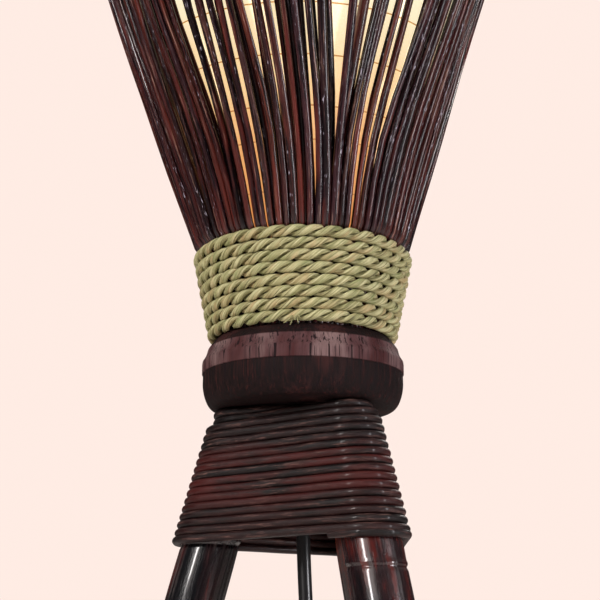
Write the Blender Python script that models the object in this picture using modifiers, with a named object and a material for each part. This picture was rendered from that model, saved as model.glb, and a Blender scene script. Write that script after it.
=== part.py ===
"""Tripod floor lamp: bamboo legs, a turned collar and a flaring bundle of sticks round a lantern.

Metres, +Z up. The floor is z = 0, and the origin is on it under the collar's axis.
"""
import math

import bmesh
import bpy
from mathutils import Matrix, Vector

# Fits and mesh fineness
GAP = 0.0003                      # clearance between pieces that touch
ROUND_STEPS = 24                  # facets round a turned piece
SMALL_STEPS = 12                  # facets round a small turned piece
RING_STEPS = 32                   # facets round the rope, the paper and the wire rings
GLOBE_STEPS = 7                   # facets from a bulb's crown to its rim
MERGE = 0.00001
CUT_PAST = 0.005                  # how far a cutter runs past the face that it cuts

# Legs: sheared tubes, so that every level section is round
COLLAR_BOTTOM = 0.629             # height of the collar's underside over the floor
LEG_AZIMUTHS = (181.0, -52.0, 52.0)
LEG_REACHES = (0.0282, 0.0344, 0.0344)    # from the lamp's axis at the collar's underside
LEG_NECK_RADII = (0.0150, 0.0115, 0.0115)  # leg radii shaved down under the binding
LEG_SPLAY = 0.27                  # outward travel of a leg axis for each unit of height
LEG_RADIUS = 0.015
LEG_NECK_HEIGHT = 0.064
LEG_TOP_SPACE = 0.0055            # leg end to collar underside
FOOT_PAD_HEIGHT = 0.006
FOOT_PAD_RADIUS = 0.0145
FOOT_PAD_BEVEL = 0.001
DOWEL_RADIUS = 0.007
DOWEL_IN_LEG = 0.040
DOWEL_IN_COLLAR = 0.012
LEG_SCREW_RADIUS = 0.002
LEG_SCREW_HEAD_RADIUS = 0.004
LEG_SCREW_HEAD_HEIGHT = 0.003
LEG_SCREW_LENGTH = 0.046
LEG_SCREW_POINT = 0.004

# Rattan binding round the leg tops
BINDING_HEIGHT = 0.0685
RATTAN_DIAMETER = 0.0047
BINDING_TOP_PULL = 0.004          # how far the last turns close in under the collar
BINDING_PULL_BELOW = 0.002        # leg tops to where they start to close in
CORNER_POINTS = 9

# Turned collar
COLLAR_RADIUS = 0.052
COLLAR_FOOT_RADIUS = 0.0445
COLLAR_BAND_TOP_RADIUS = 0.049
COLLAR_TOP_RADIUS = 0.046
COLLAR_ROUNDING_HEIGHT = 0.013
COLLAR_WAIST_HEIGHT = 0.011
COLLAR_BAND_HEIGHT = 0.007
COLLAR_CHAMFER_HEIGHT = 0.005

# Sticks, in two layers, wired into mats round the hub
PANEL_COUNT = 12
STICKS_PER_PANEL = 7
STICK_RADIUS = 0.002
STICK_FOOT_CIRCLE = 0.0416        # outer layer at the stick feet
STICK_NECK_CIRCLE = 0.0505        # outer layer at the top of the rope
STICK_BULGE = 0.0067              # how far the sticks spring out just above the rope
STICK_BULGE_HEIGHT = 0.008
STICK_LAYER_STEP = 0.0044         # inner layer's axes inside the outer layer's
STICK_FOOT_LIFT = 0.0008          # square-cut feet lean, so their axes end over the collar
SHADE_FLARE = 0.3225              # outward travel of a stick above the bulge
SHADE_HEIGHT = 0.574              # stick feet to stick tops
INNER_STICK_DROP = 0.008          # inner sticks end lower
MAT_WIRE_RADIUS = 0.0014
MAT_WIRE_HEIGHT = 0.010
HUB_HEIGHT = 0.039

# Seagrass rope
ROPE_TURNS = 8
ROPE_DIAMETER = 0.0062
ROPE_PITCH = 0.0058
ROPE_BEDDING = 0.0015             # how far the rope is pressed flat against the sticks
ROPE_CLEARANCE = 0.0008           # between the faceted rope and the round of sticks

# Paper lantern inside the sticks
HOOP_RADIUS = 0.002
HOOP_BELOW_TOP = 0.045
PAPER_WALL = 0.0008
LANTERN_WIRE_RADIUS = 0.0015
LANTERN_BELOW_TOP = 0.020

# Threaded tube, nuts and washers
TUBE_RADIUS = 0.005
TUBE_BORE_RADIUS = 0.0039
TUBE_IN_GRIP = 0.008
TUBE_IN_HOLDER = 0.008
WASHER_RADIUS = 0.011
WASHER_HEIGHT = 0.0015
NUT_RADIUS = 0.0085
NUT_HEIGHT = 0.004

# Lamp holder and bulb, standard E27
HOLDER_RADIUS = 0.0195
HOLDER_WALL = 0.002
HOLDER_CAP_HEIGHT = 0.024
HOLDER_SHELL_HEIGHT = 0.030
HOLDER_FLOOR = 0.004
HOLDER_SHOULDER = 0.008           # rounding at the cap's bottom
INSULATOR_HEIGHT = 0.006
CONTACT_RADIUS = 0.0045
CONTACT_HEIGHT = 0.002
THREAD_RADIUS = 0.0132            # bulb cap's outside
THREAD_CLEARANCE = 0.0004
SLEEVE_WALL = 0.0008
SLEEVE_DROP = 0.004               # the thread sleeve ends below the shell
BULB_TIP_RADIUS = 0.0042
BULB_TIP_HEIGHT = 0.002
BULB_CAP_HEIGHT = 0.023
BULB_CAP_WALL = 0.001
BULB_CAP_FLAT = 0.003             # flat ring round the tip
BULB_CAP_SLOPE = 0.005
BULB_SPIGOT = 0.008               # length of the body that sits in the cap
BULB_LIP = 0.001
BULB_BODY_HEIGHT = 0.030
BULB_BODY_RADIUS = 0.0215
BULB_BAND_HEIGHT = 0.010
BULB_BODY_DRAFT = 0.0006
BULB_GLOBE_RADIUS = 0.030
BULB_GLOBE_WALL = 0.0015

# Mains lead
CORD_RADIUS = 0.0035
GRIP_LENGTH = 0.025
GRIP_TOP_RADIUS = 0.0085
GRIP_END_RADIUS = 0.0052
GRIP_STRAIGHT = 0.010             # length of the grip round the tube
FLEX_IN_HOLDER = 0.012
COIL_CENTRE = (-0.045, 0.095)
COIL_RADIUS = 0.038               # middle of the turns
COIL_HALF_WIDTH = 0.0071
COIL_BOTTOM = 0.0013
COIL_ROUNDING = 0.003
COIL_TIE_ANGLE = -60.0
COIL_TIE_WIDTH = 0.012
COIL_TIE_WALL = 0.001

# Foot switch
SWITCH_CENTRE = (0.088, -0.004)
SWITCH_LENGTH = 0.078
SWITCH_WIDTH = 0.040
SWITCH_BASE_HEIGHT = 0.005
SWITCH_COVER_HEIGHT = 0.018
SWITCH_WALL = 0.002
SWITCH_CORNER = 0.012
SWITCH_CORD_Z = 0.0125
BUTTON_RADIUS = 0.0110
BUTTON_TOP = 0.0285
BUTTON_DEPTH = 0.0105             # top to the button's lower end inside the cover
BUTTON_BEVEL = 0.002
RELIEF_LENGTH = 0.022
RELIEF_ROOT_RADIUS = 0.0075
RELIEF_TIP_RADIUS = 0.0052

# Two-pin plug
PLUG_CENTRE = (-0.128, 0.010)
PLUG_HEADING = -128.0             # way the pins point, degrees from +X
PLUG_LENGTH = 0.034
PLUG_WIDTH = 0.033
PLUG_THICKNESS = 0.0138
PLUG_NECK_LENGTH = 0.020
PLUG_FACE_HALF = 0.0124           # half widths of the face, the back and the neck's end
PLUG_BACK_HALF = 0.0069
PLUG_NECK_HALF = 0.0052
PLUG_BEVEL = 0.006
PLUG_FULL = 0.016                 # face to the end of the full width
PLUG_LIFT = 0.0002
PLUG_PIN_ROOT = 0.0095            # length of a pin inside the body
PLUG_PIN_RADIUS = 0.002
PLUG_PIN_LENGTH = 0.019
PLUG_PIN_SPACING = 0.0186

# The lead's route: from the grip to the switch, on to the coil, and out to the plug
CORD_DROP_ROUTE = (
    (0.0000, 0.0000, 0.5970), (0.0003, 0.0000, 0.5600), (0.0030, -0.0005, 0.5000),
    (0.0080, -0.0020, 0.4000), (0.0120, -0.0035, 0.3000), (0.0140, -0.0060, 0.2000),
    (0.0125, -0.0110, 0.1200), (0.0090, -0.0230, 0.0620), (0.0070, -0.0430, 0.0250),
    (0.0080, -0.0680, 0.0075), (0.0140, -0.0920, 0.0037), (0.0310, -0.1160, 0.0037),
    (0.0570, -0.1220, 0.0037), (0.0780, -0.1060, 0.0050), (0.0865, -0.0850, 0.0095),
    (0.0880, -0.0653, 0.0125),
)
CORD_LEAD_ROUTE = (
    (0.0880, 0.0573, 0.0125), (0.0868, 0.0750, 0.0090), (0.0795, 0.0970, 0.0045),
    (0.0630, 0.1160, 0.0040), (0.0410, 0.1295, 0.0042), (0.0180, 0.1380, 0.0046),
    (-0.0050, 0.1425, 0.0048), (-0.0270, 0.1442, 0.0048), (-0.0410, 0.1443, 0.0048),
)
CORD_TAIL_ROUTE = (
    (-0.0942, 0.0955, 0.0048), (-0.0925, 0.0830, 0.0048), (-0.0910, 0.0700, 0.0050),
    (-0.0927, 0.0577, 0.0060), (-0.0984, 0.0479, 0.0069), (-0.1048, 0.0397, 0.0071),
)

# Heights that stack up from the floor
COLLAR_WAIST = COLLAR_BOTTOM + COLLAR_ROUNDING_HEIGHT
COLLAR_BAND = COLLAR_WAIST + COLLAR_WAIST_HEIGHT
COLLAR_BAND_TOP = COLLAR_BAND + COLLAR_BAND_HEIGHT
COLLAR_TOP = COLLAR_BAND_TOP + COLLAR_CHAMFER_HEIGHT
LEG_TOP = COLLAR_BOTTOM - LEG_TOP_SPACE
STICK_FOOT = COLLAR_TOP + GAP
STICK_TOP = STICK_FOOT + SHADE_HEIGHT
ROPE_BOTTOM = COLLAR_TOP + GAP
ROPE_TOP = ROPE_BOTTOM + ROPE_DIAMETER + ROPE_PITCH * (ROPE_TURNS - 1)
BULGE_TOP = ROPE_TOP + STICK_BULGE_HEIGHT
HUB_TOP = STICK_FOOT + HUB_HEIGHT
NUT_TOP = HUB_TOP + GAP + NUT_HEIGHT
HOLDER_BOTTOM = NUT_TOP + GAP
HOLDER_JOINT = HOLDER_BOTTOM + HOLDER_CAP_HEIGHT
INSULATOR_TOP = HOLDER_JOINT
BULB_BOTTOM = INSULATOR_TOP + CONTACT_HEIGHT + GAP
LOWER_NUT_BOTTOM = COLLAR_BOTTOM - GAP - WASHER_HEIGHT - GAP - NUT_HEIGHT
GRIP_TOP = LOWER_NUT_BOTTOM - GAP


def clear_scene():
    for old in list(bpy.data.objects):
        bpy.data.objects.remove(old)


def new_collection(name):
    collection = bpy.data.collections.new(name)
    bpy.context.scene.collection.children.link(collection)
    return collection


def make_material(name, colour, roughness, metallic=0.0):
    material = bpy.data.materials.new(name)
    material.use_nodes = True
    shader = material.node_tree.nodes["Principled BSDF"]
    shader.inputs["Base Color"].default_value = (*colour, 1.0)
    shader.inputs["Roughness"].default_value = roughness
    shader.inputs["Metallic"].default_value = metallic
    return material


clear_scene()
PARTS = new_collection("tripod_floor_lamp")
CUTTERS = new_collection("cutters")
MATERIALS = {
    "bamboo": make_material("bamboo", (0.055, 0.018, 0.014), 0.32),
    "rattan": make_material("rattan", (0.050, 0.016, 0.014), 0.35),
    "collar_wood": make_material("collar_wood", (0.130, 0.062, 0.052), 0.42),
    "stick": make_material("stick", (0.045, 0.014, 0.014), 0.30),
    "seagrass": make_material("seagrass", (0.38, 0.37, 0.13), 0.75),
    "plain_wood": make_material("plain_wood", (0.42, 0.27, 0.14), 0.60),
    "paper": make_material("paper", (0.90, 0.84, 0.66), 0.80),
    "steel": make_material("steel", (0.62, 0.62, 0.62), 0.35, 1.0),
    "brass": make_material("brass", (0.80, 0.62, 0.28), 0.30, 1.0),
    "holder_plastic": make_material("holder_plastic", (0.02, 0.02, 0.02), 0.35),
    "bulb_plastic": make_material("bulb_plastic", (0.85, 0.85, 0.82), 0.40),
    "bulb_globe": make_material("bulb_globe", (0.95, 0.93, 0.85), 0.30),
    "cord_black": make_material("cord_black", (0.012, 0.012, 0.012), 0.30),
    "rubber": make_material("rubber", (0.02, 0.02, 0.02), 0.80),
    "tie": make_material("tie", (0.015, 0.015, 0.015), 0.85),
}


def add_part(name, mesh, material):
    """Put a mesh in the parts collection as one named piece."""
    part = bpy.data.objects.new(name, mesh)
    mesh.materials.clear()
    mesh.materials.append(MATERIALS[material])
    PARTS.objects.link(part)
    return part


def evaluated_mesh(source):
    """Read an object's final mesh in world space, with its caps welded, and remove the object."""
    bpy.context.view_layer.update()
    depsgraph = bpy.context.evaluated_depsgraph_get()
    mesh = bpy.data.meshes.new_from_object(source.evaluated_get(depsgraph))
    mesh.transform(source.matrix_world)
    welded = bmesh.new()
    welded.from_mesh(mesh)
    bmesh.ops.remove_doubles(welded, verts=welded.verts, dist=MERGE)
    bmesh.ops.recalc_face_normals(welded, faces=welded.faces)
    welded.to_mesh(mesh)
    welded.free()
    bpy.data.objects.remove(source)
    return mesh


def smooth(part, angle=40.0):
    part.data.shade_smooth()
    part.data.set_sharp_from_angle(angle=math.radians(angle))
    return part


def turned_mesh(profile, steps, closed):
    """Turn an (r, z) profile about Z. A closed profile makes a ring or a tube."""
    mesh = bpy.data.meshes.new("profile")
    edges = [(i, i + 1) for i in range(len(profile) - 1)]
    if closed:
        edges.append((len(profile) - 1, 0))
    mesh.from_pydata([(r, 0.0, z) for r, z in profile], edges, [])
    holder = bpy.data.objects.new("profile", mesh)
    CUTTERS.objects.link(holder)
    screw = holder.modifiers.new("turn", "SCREW")
    screw.steps = steps
    screw.render_steps = steps
    screw.use_merge_vertices = True
    screw.merge_threshold = MERGE
    return evaluated_mesh(holder)


def turned(name, profile, material, steps=ROUND_STEPS, closed=True, at=(0.0, 0.0, 0.0)):
    """A turned piece. An open profile runs from the axis at the top to the axis at the bottom."""
    part = add_part(name, turned_mesh(profile, steps, closed), material)
    part.location = at
    return smooth(part)


def pipe_profile(outer, inner, bottom, top):
    return [(outer, top), (outer, bottom), (inner, bottom), (inner, top)]


def rod_profile(radius, bottom, top):
    return [(0.0, top), (radius, top), (radius, bottom), (0.0, bottom)]


def leg_point(leg, height):
    """Where a leg's axis is at a height."""
    reach = LEG_REACHES[leg] + LEG_SPLAY * (COLLAR_BOTTOM - height)
    angle = math.radians(LEG_AZIMUTHS[leg])
    return Vector((reach * math.cos(angle), reach * math.sin(angle), height))


def shear_along_leg(mesh, leg):
    """Lean a piece built on Z so that it follows a leg's axis."""
    foot = leg_point(leg, 0.0)
    lean_per_metre = leg_point(leg, 1.0) - foot
    lean = Matrix.Translation(foot)
    lean[0][2] = lean_per_metre.x
    lean[1][2] = lean_per_metre.y
    mesh.transform(lean)
    return mesh


def cutter(name, mesh):
    tool = bpy.data.objects.new(name, mesh)
    tool.display_type = "WIRE"
    tool.hide_render = True
    CUTTERS.objects.link(tool)
    return tool


def combine(part, tool, operation="DIFFERENCE"):
    """Cut a tool from a part, or join it on, and keep the result as the part's mesh."""
    boolean = part.modifiers.new(tool.name, "BOOLEAN")
    boolean.operation = operation
    boolean.solver = "EXACT"
    boolean.object = tool
    return part


def curve_object(name, points, radius, sides_level, cyclic=False):
    curve = bpy.data.curves.new(name, "CURVE")
    curve.dimensions = "3D"
    curve.bevel_depth = radius
    curve.bevel_resolution = sides_level
    curve.use_fill_caps = True
    spline = curve.splines.new("POLY")
    spline.points.add(len(points) - 1)
    for target, point in zip(spline.points, points):
        target.co = (*point, 1.0)
    spline.use_cyclic_u = cyclic
    return bpy.data.objects.new(name, curve)


def smooth_route(route, step):
    """Points about a step apart on a Catmull-Rom curve through a route's own points."""
    knots = [Vector(point) for point in route]
    knots = [knots[0] * 2 - knots[1]] + knots + [knots[-1] * 2 - knots[-2]]
    points = []
    for before, start, end, after in zip(knots, knots[1:], knots[2:], knots[3:]):
        count = max(1, round((end - start).length / step))
        for index in range(count):
            t = index / count
            points.append(0.5 * (2 * start + (end - before) * t
                                 + (2 * before - 5 * start + 4 * end - after) * t ** 2
                                 + (3 * start - before - 3 * end + after) * t ** 3))
    points.append(knots[-2])
    return points


# Legs and feet

def leg_radius(leg, height):
    """A leg's radius: full up to the neck, then shaved down to its top."""
    up_the_neck = (height - (LEG_TOP - LEG_NECK_HEIGHT)) / LEG_NECK_HEIGHT
    return LEG_RADIUS - (LEG_RADIUS - LEG_NECK_RADII[leg]) * min(max(up_the_neck, 0.0), 1.0)


def build_leg(leg):
    foot = FOOT_PAD_HEIGHT + GAP
    bore = DOWEL_RADIUS + GAP
    profile = [(LEG_NECK_RADII[leg], LEG_TOP), (LEG_RADIUS, LEG_TOP - LEG_NECK_HEIGHT),
               (LEG_RADIUS, foot), (bore, foot), (bore, LEG_TOP)]
    tube = shear_along_leg(turned_mesh(profile, ROUND_STEPS, True), leg)
    smooth(add_part(f"leg_{leg + 1}", tube, "bamboo"))

    pad = [(0.0, FOOT_PAD_HEIGHT), (FOOT_PAD_RADIUS, FOOT_PAD_HEIGHT),
           (FOOT_PAD_RADIUS, FOOT_PAD_BEVEL), (FOOT_PAD_RADIUS - FOOT_PAD_BEVEL, 0.0), (0.0, 0.0)]
    turned(f"foot_pad_{leg + 1}", pad, "rubber", SMALL_STEPS, False, leg_point(leg, 0.0))


def build_dowel_and_screw(leg):
    dowel_top = COLLAR_BOTTOM + DOWEL_IN_COLLAR - GAP
    screw_top = COLLAR_TOP - GAP
    screw_end = screw_top - LEG_SCREW_LENGTH
    pilot = LEG_SCREW_RADIUS + GAP
    dowel = [(0.0, screw_end - GAP), (pilot, screw_end - GAP), (pilot, dowel_top),
             (DOWEL_RADIUS, dowel_top), (DOWEL_RADIUS, LEG_TOP - DOWEL_IN_LEG),
             (0.0, LEG_TOP - DOWEL_IN_LEG)]
    mesh = shear_along_leg(turned_mesh(dowel, SMALL_STEPS, False), leg)
    smooth(add_part(f"leg_dowel_{leg + 1}", mesh, "plain_wood"))

    head_bottom = screw_top - LEG_SCREW_HEAD_HEIGHT
    screw = [(0.0, screw_top), (LEG_SCREW_HEAD_RADIUS, screw_top),
             (LEG_SCREW_RADIUS, head_bottom), (LEG_SCREW_RADIUS, screw_end + LEG_SCREW_POINT),
             (0.0, screw_end)]
    mesh = shear_along_leg(turned_mesh(screw, SMALL_STEPS, False), leg)
    smooth(add_part(f"leg_screw_{leg + 1}", mesh, "steel"))


def bundle_outline(height, proud):
    """A level outline round the three legs, proud of their surfaces."""
    centres = [leg_point(leg, height) for leg in range(3)]
    outline = []
    for leg, centre in enumerate(centres):
        offset = leg_radius(leg, height) + proud
        before = centre - centres[leg - 1]
        after = centres[(leg + 1) % 3] - centre
        start = math.atan2(before.y, before.x) - math.pi / 2
        turn = (math.atan2(after.y, after.x) - math.pi / 2 - start) % (2 * math.pi)
        for point in range(CORNER_POINTS):
            angle = start + turn * point / (CORNER_POINTS - 1)
            outline.append(centre + offset * Vector((math.cos(angle), math.sin(angle), 0.0)))
    return outline


def build_binding():
    """The rattan wound round the leg tops, as one sleeve of its outer shape."""
    top = COLLAR_BOTTOM - GAP
    bottom = top - BINDING_HEIGHT
    neck = LEG_TOP - LEG_NECK_HEIGHT
    shoulder = LEG_TOP - BINDING_PULL_BELOW
    outer_rows = [(top, RATTAN_DIAMETER + GAP - BINDING_TOP_PULL)]
    outer_rows += [(z, RATTAN_DIAMETER + GAP) for z in (shoulder, neck, bottom)]
    inner_rows = [(z, GAP) for z in (bottom, neck, LEG_TOP)] + [(top, GAP - BINDING_TOP_PULL)]
    sleeve = bmesh.new()
    loops = []
    for height, proud in outer_rows + inner_rows:
        loops.append([sleeve.verts.new(point) for point in bundle_outline(height, proud)])
    for loop, following in zip(loops, loops[1:] + loops[:1]):
        for index in range(len(loop)):
            sleeve.faces.new((loop[index - 1], following[index - 1], following[index], loop[index]))
    bmesh.ops.recalc_face_normals(sleeve, faces=sleeve.faces)
    mesh = bpy.data.meshes.new("rattan_binding")
    sleeve.to_mesh(mesh)
    sleeve.free()
    smooth(add_part("rattan_binding", mesh, "rattan"))


# Collar and hub

def build_collar():
    rounding = [(COLLAR_FOOT_RADIUS + (COLLAR_RADIUS - COLLAR_FOOT_RADIUS) * math.sin(angle),
                 COLLAR_WAIST - COLLAR_ROUNDING_HEIGHT * math.cos(angle))
                for angle in (math.radians(degrees) for degrees in (75, 50, 25, 0))]
    bore = TUBE_RADIUS + GAP
    profile = [(COLLAR_TOP_RADIUS, COLLAR_TOP), (COLLAR_BAND_TOP_RADIUS, COLLAR_BAND_TOP),
               (COLLAR_RADIUS, COLLAR_BAND), (COLLAR_RADIUS, COLLAR_WAIST)]
    profile += rounding + [(bore, COLLAR_BOTTOM), (bore, COLLAR_TOP)]
    collar = turned("turned_collar", profile, "collar_wood", RING_STEPS)
    screw_top = COLLAR_TOP - GAP
    head_bottom = screw_top - LEG_SCREW_HEAD_HEIGHT
    hole = LEG_SCREW_RADIUS + GAP
    head = LEG_SCREW_HEAD_RADIUS + GAP
    socket = DOWEL_RADIUS + GAP
    below = COLLAR_BOTTOM - CUT_PAST
    above = COLLAR_TOP + CUT_PAST
    ceiling = COLLAR_BOTTOM + DOWEL_IN_COLLAR
    drill = [(0.0, above), (head, above), (head, screw_top), (hole, head_bottom - GAP),
             (hole, ceiling), (socket, ceiling), (socket, below), (0.0, below)]
    for leg in range(3):
        mesh = shear_along_leg(turned_mesh(drill, SMALL_STEPS, False), leg)
        combine(collar, cutter(f"leg_socket_{leg + 1}", mesh))


def stick_circle(height):
    """Radius of the outer layer's axes at a height."""
    if height < ROPE_TOP:
        share = (height - STICK_FOOT) / (ROPE_TOP - STICK_FOOT)
        return STICK_FOOT_CIRCLE + (STICK_NECK_CIRCLE - STICK_FOOT_CIRCLE) * share
    bulge = STICK_BULGE * min((height - ROPE_TOP) / STICK_BULGE_HEIGHT, 1.0)
    return STICK_NECK_CIRCLE + bulge + SHADE_FLARE * max(height - BULGE_TOP, 0.0)


def build_hub():
    clear = STICK_LAYER_STEP + STICK_RADIUS + GAP
    foot = STICK_FOOT_CIRCLE - clear
    bore = TUBE_RADIUS + GAP
    profile = [(foot, HUB_TOP), (foot, STICK_FOOT), (bore, STICK_FOOT), (bore, HUB_TOP)]
    turned("stick_hub", profile, "plain_wood", ROUND_STEPS)


# Sticks and rope

def build_stick_panel(number):
    """One mat: a row of sticks joined by the wire that runs through them."""
    pitch = 2 * math.pi / (PANEL_COUNT * STICKS_PER_PANEL)
    first = (number - 1) * STICKS_PER_PANEL
    sticks = bmesh.new()
    for index in range(first, first + STICKS_PER_PANEL):
        angle = pitch * index
        inset = STICK_LAYER_STEP * (index % 2)
        top = STICK_TOP - INNER_STICK_DROP * (index % 2)
        heights = (STICK_FOOT + STICK_FOOT_LIFT, ROPE_TOP, BULGE_TOP, top)
        path = [((stick_circle(z) - inset) * math.cos(angle),
                 (stick_circle(z) - inset) * math.sin(angle), z) for z in heights]
        stick = curve_object("stick", path, STICK_RADIUS, 1)
        CUTTERS.objects.link(stick)
        sticks.from_mesh(evaluated_mesh(stick))
    row = bpy.data.meshes.new("stick_row")
    sticks.to_mesh(row)
    sticks.free()

    height = STICK_FOOT + MAT_WIRE_HEIGHT
    radius = stick_circle(height) - STICK_LAYER_STEP / 2
    wire_path = [(radius * math.cos(pitch * index), radius * math.sin(pitch * index), height)
                 for index in range(first, first + STICKS_PER_PANEL)]
    wire = curve_object("mat_wire", wire_path, MAT_WIRE_RADIUS, 1)
    CUTTERS.objects.link(wire)
    panel = add_part(f"stick_panel_{number:02d}", evaluated_mesh(wire), "stick")
    combine(panel, cutter(f"stick_row_{number:02d}", row), "UNION")


def build_rope():
    """The rope's turns side by side, as one ring with a groove between each two."""
    radius = ROPE_DIAMETER / 2
    profile = []
    for turn in range(ROPE_TURNS - 1, -1, -1):
        height = ROPE_BOTTOM + radius + turn * ROPE_PITCH
        middle = stick_circle(height) + STICK_RADIUS + GAP + radius - ROPE_BEDDING
        for degrees in (45, 0, -45):
            angle = math.radians(degrees)
            profile.append((middle + radius * math.cos(angle), height + radius * math.sin(angle)))
    ends = []
    for height in (ROPE_BOTTOM, ROPE_TOP):
        ends.append((stick_circle(height) + STICK_RADIUS + ROPE_CLEARANCE, height))
    turned("seagrass_rope", profile + ends, "seagrass", RING_STEPS)


# Lantern

def paper_radius(height):
    """Outer face of the paper: inside the hoop, which is inside the inner sticks."""
    return stick_circle(height) - STICK_LAYER_STEP - STICK_RADIUS - 2 * HOOP_RADIUS - 3 * GAP


def ring(name, radius, height, wire_radius, material):
    angles = [2 * math.pi * step / RING_STEPS for step in range(RING_STEPS)]
    path = [(radius * math.cos(angle), radius * math.sin(angle), height) for angle in angles]
    wire = curve_object(name, path, wire_radius, 1, cyclic=True)
    CUTTERS.objects.link(wire)
    smooth(add_part(name, evaluated_mesh(wire), material))


def build_lantern():
    hoop_height = STICK_TOP - HOOP_BELOW_TOP
    hoop = stick_circle(hoop_height) - STICK_LAYER_STEP - STICK_RADIUS - HOOP_RADIUS - 2 * GAP
    ring("stick_hoop", hoop, hoop_height, HOOP_RADIUS, "rattan")

    bottom = HUB_TOP + GAP
    top = STICK_TOP - LANTERN_BELOW_TOP
    outer = [(paper_radius(z), z) for z in (top, BULGE_TOP, ROPE_TOP, bottom)]
    inner = [(paper_radius(z) - PAPER_WALL, z) for z in (bottom, ROPE_TOP, BULGE_TOP, top)]
    turned("lantern_paper", outer + inner, "paper", RING_STEPS)
    inside = PAPER_WALL + LANTERN_WIRE_RADIUS + 2 * GAP
    low = HUB_TOP + GAP + LANTERN_WIRE_RADIUS
    high = top - LANTERN_WIRE_RADIUS
    ring("lantern_bottom_ring", paper_radius(low) - inside, low, LANTERN_WIRE_RADIUS, "steel")
    ring("lantern_top_ring", paper_radius(high) - inside, high, LANTERN_WIRE_RADIUS, "steel")


# Threaded tube and its fixings

def hex_nut(name, bottom):
    nut = bmesh.new()
    bmesh.ops.create_cone(nut, cap_ends=True, segments=6, radius1=NUT_RADIUS, radius2=NUT_RADIUS,
                          depth=NUT_HEIGHT)
    bmesh.ops.translate(nut, verts=nut.verts, vec=(0.0, 0.0, bottom + NUT_HEIGHT / 2))
    mesh = bpy.data.meshes.new(name)
    nut.to_mesh(mesh)
    nut.free()
    bore = rod_profile(TUBE_RADIUS + GAP, bottom - CUT_PAST, bottom + NUT_HEIGHT + CUT_PAST)
    part = add_part(name, mesh, "brass")
    combine(part, cutter(f"{name}_bore", turned_mesh(bore, SMALL_STEPS, False)))


def build_tube_and_nuts():
    bore = TUBE_RADIUS + GAP
    tube = pipe_profile(TUBE_RADIUS, TUBE_BORE_RADIUS, GRIP_TOP - TUBE_IN_GRIP,
                        HOLDER_BOTTOM + TUBE_IN_HOLDER)
    turned("threaded_tube", tube, "steel", SMALL_STEPS)
    lower = COLLAR_BOTTOM - GAP - WASHER_HEIGHT
    turned("washer", pipe_profile(WASHER_RADIUS, bore, lower, lower + WASHER_HEIGHT),
           "steel", SMALL_STEPS)
    hex_nut("upper_nut", HUB_TOP + GAP)
    hex_nut("lower_nut", LOWER_NUT_BOTTOM)


# Lamp holder and bulb

def build_lamp_holder():
    inside = HOLDER_RADIUS - HOLDER_WALL
    bore = TUBE_RADIUS + GAP
    floor_top = HOLDER_BOTTOM + HOLDER_FLOOR
    full = HOLDER_BOTTOM + HOLDER_SHOULDER
    cap = [(HOLDER_RADIUS, HOLDER_JOINT - GAP), (HOLDER_RADIUS, full),
           (HOLDER_RADIUS - HOLDER_SHOULDER * 0.375, HOLDER_BOTTOM + HOLDER_SHOULDER / 4),
           (HOLDER_RADIUS - HOLDER_SHOULDER, HOLDER_BOTTOM),
           (bore, HOLDER_BOTTOM), (bore, floor_top), (inside - HOLDER_SHOULDER * 0.75, floor_top),
           (inside, full + HOLDER_WALL), (inside, HOLDER_JOINT - GAP)]
    turned("holder_cap", cap, "holder_plastic")
    shell_top = HOLDER_JOINT + HOLDER_SHELL_HEIGHT
    turned("holder_shell", pipe_profile(HOLDER_RADIUS, inside, HOLDER_JOINT, shell_top),
           "holder_plastic")
    insulator = rod_profile(inside - GAP, INSULATOR_TOP - INSULATOR_HEIGHT, INSULATOR_TOP)
    turned("holder_insulator", insulator, "bulb_plastic", ROUND_STEPS, False)
    contact = rod_profile(CONTACT_RADIUS, INSULATOR_TOP + GAP, INSULATOR_TOP + CONTACT_HEIGHT)
    turned("centre_contact", contact, "brass", SMALL_STEPS, False)
    bore = THREAD_RADIUS + THREAD_CLEARANCE
    sleeve = pipe_profile(bore + SLEEVE_WALL, bore, INSULATOR_TOP + GAP, shell_top - SLEEVE_DROP)
    turned("thread_sleeve", sleeve, "brass")


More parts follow.
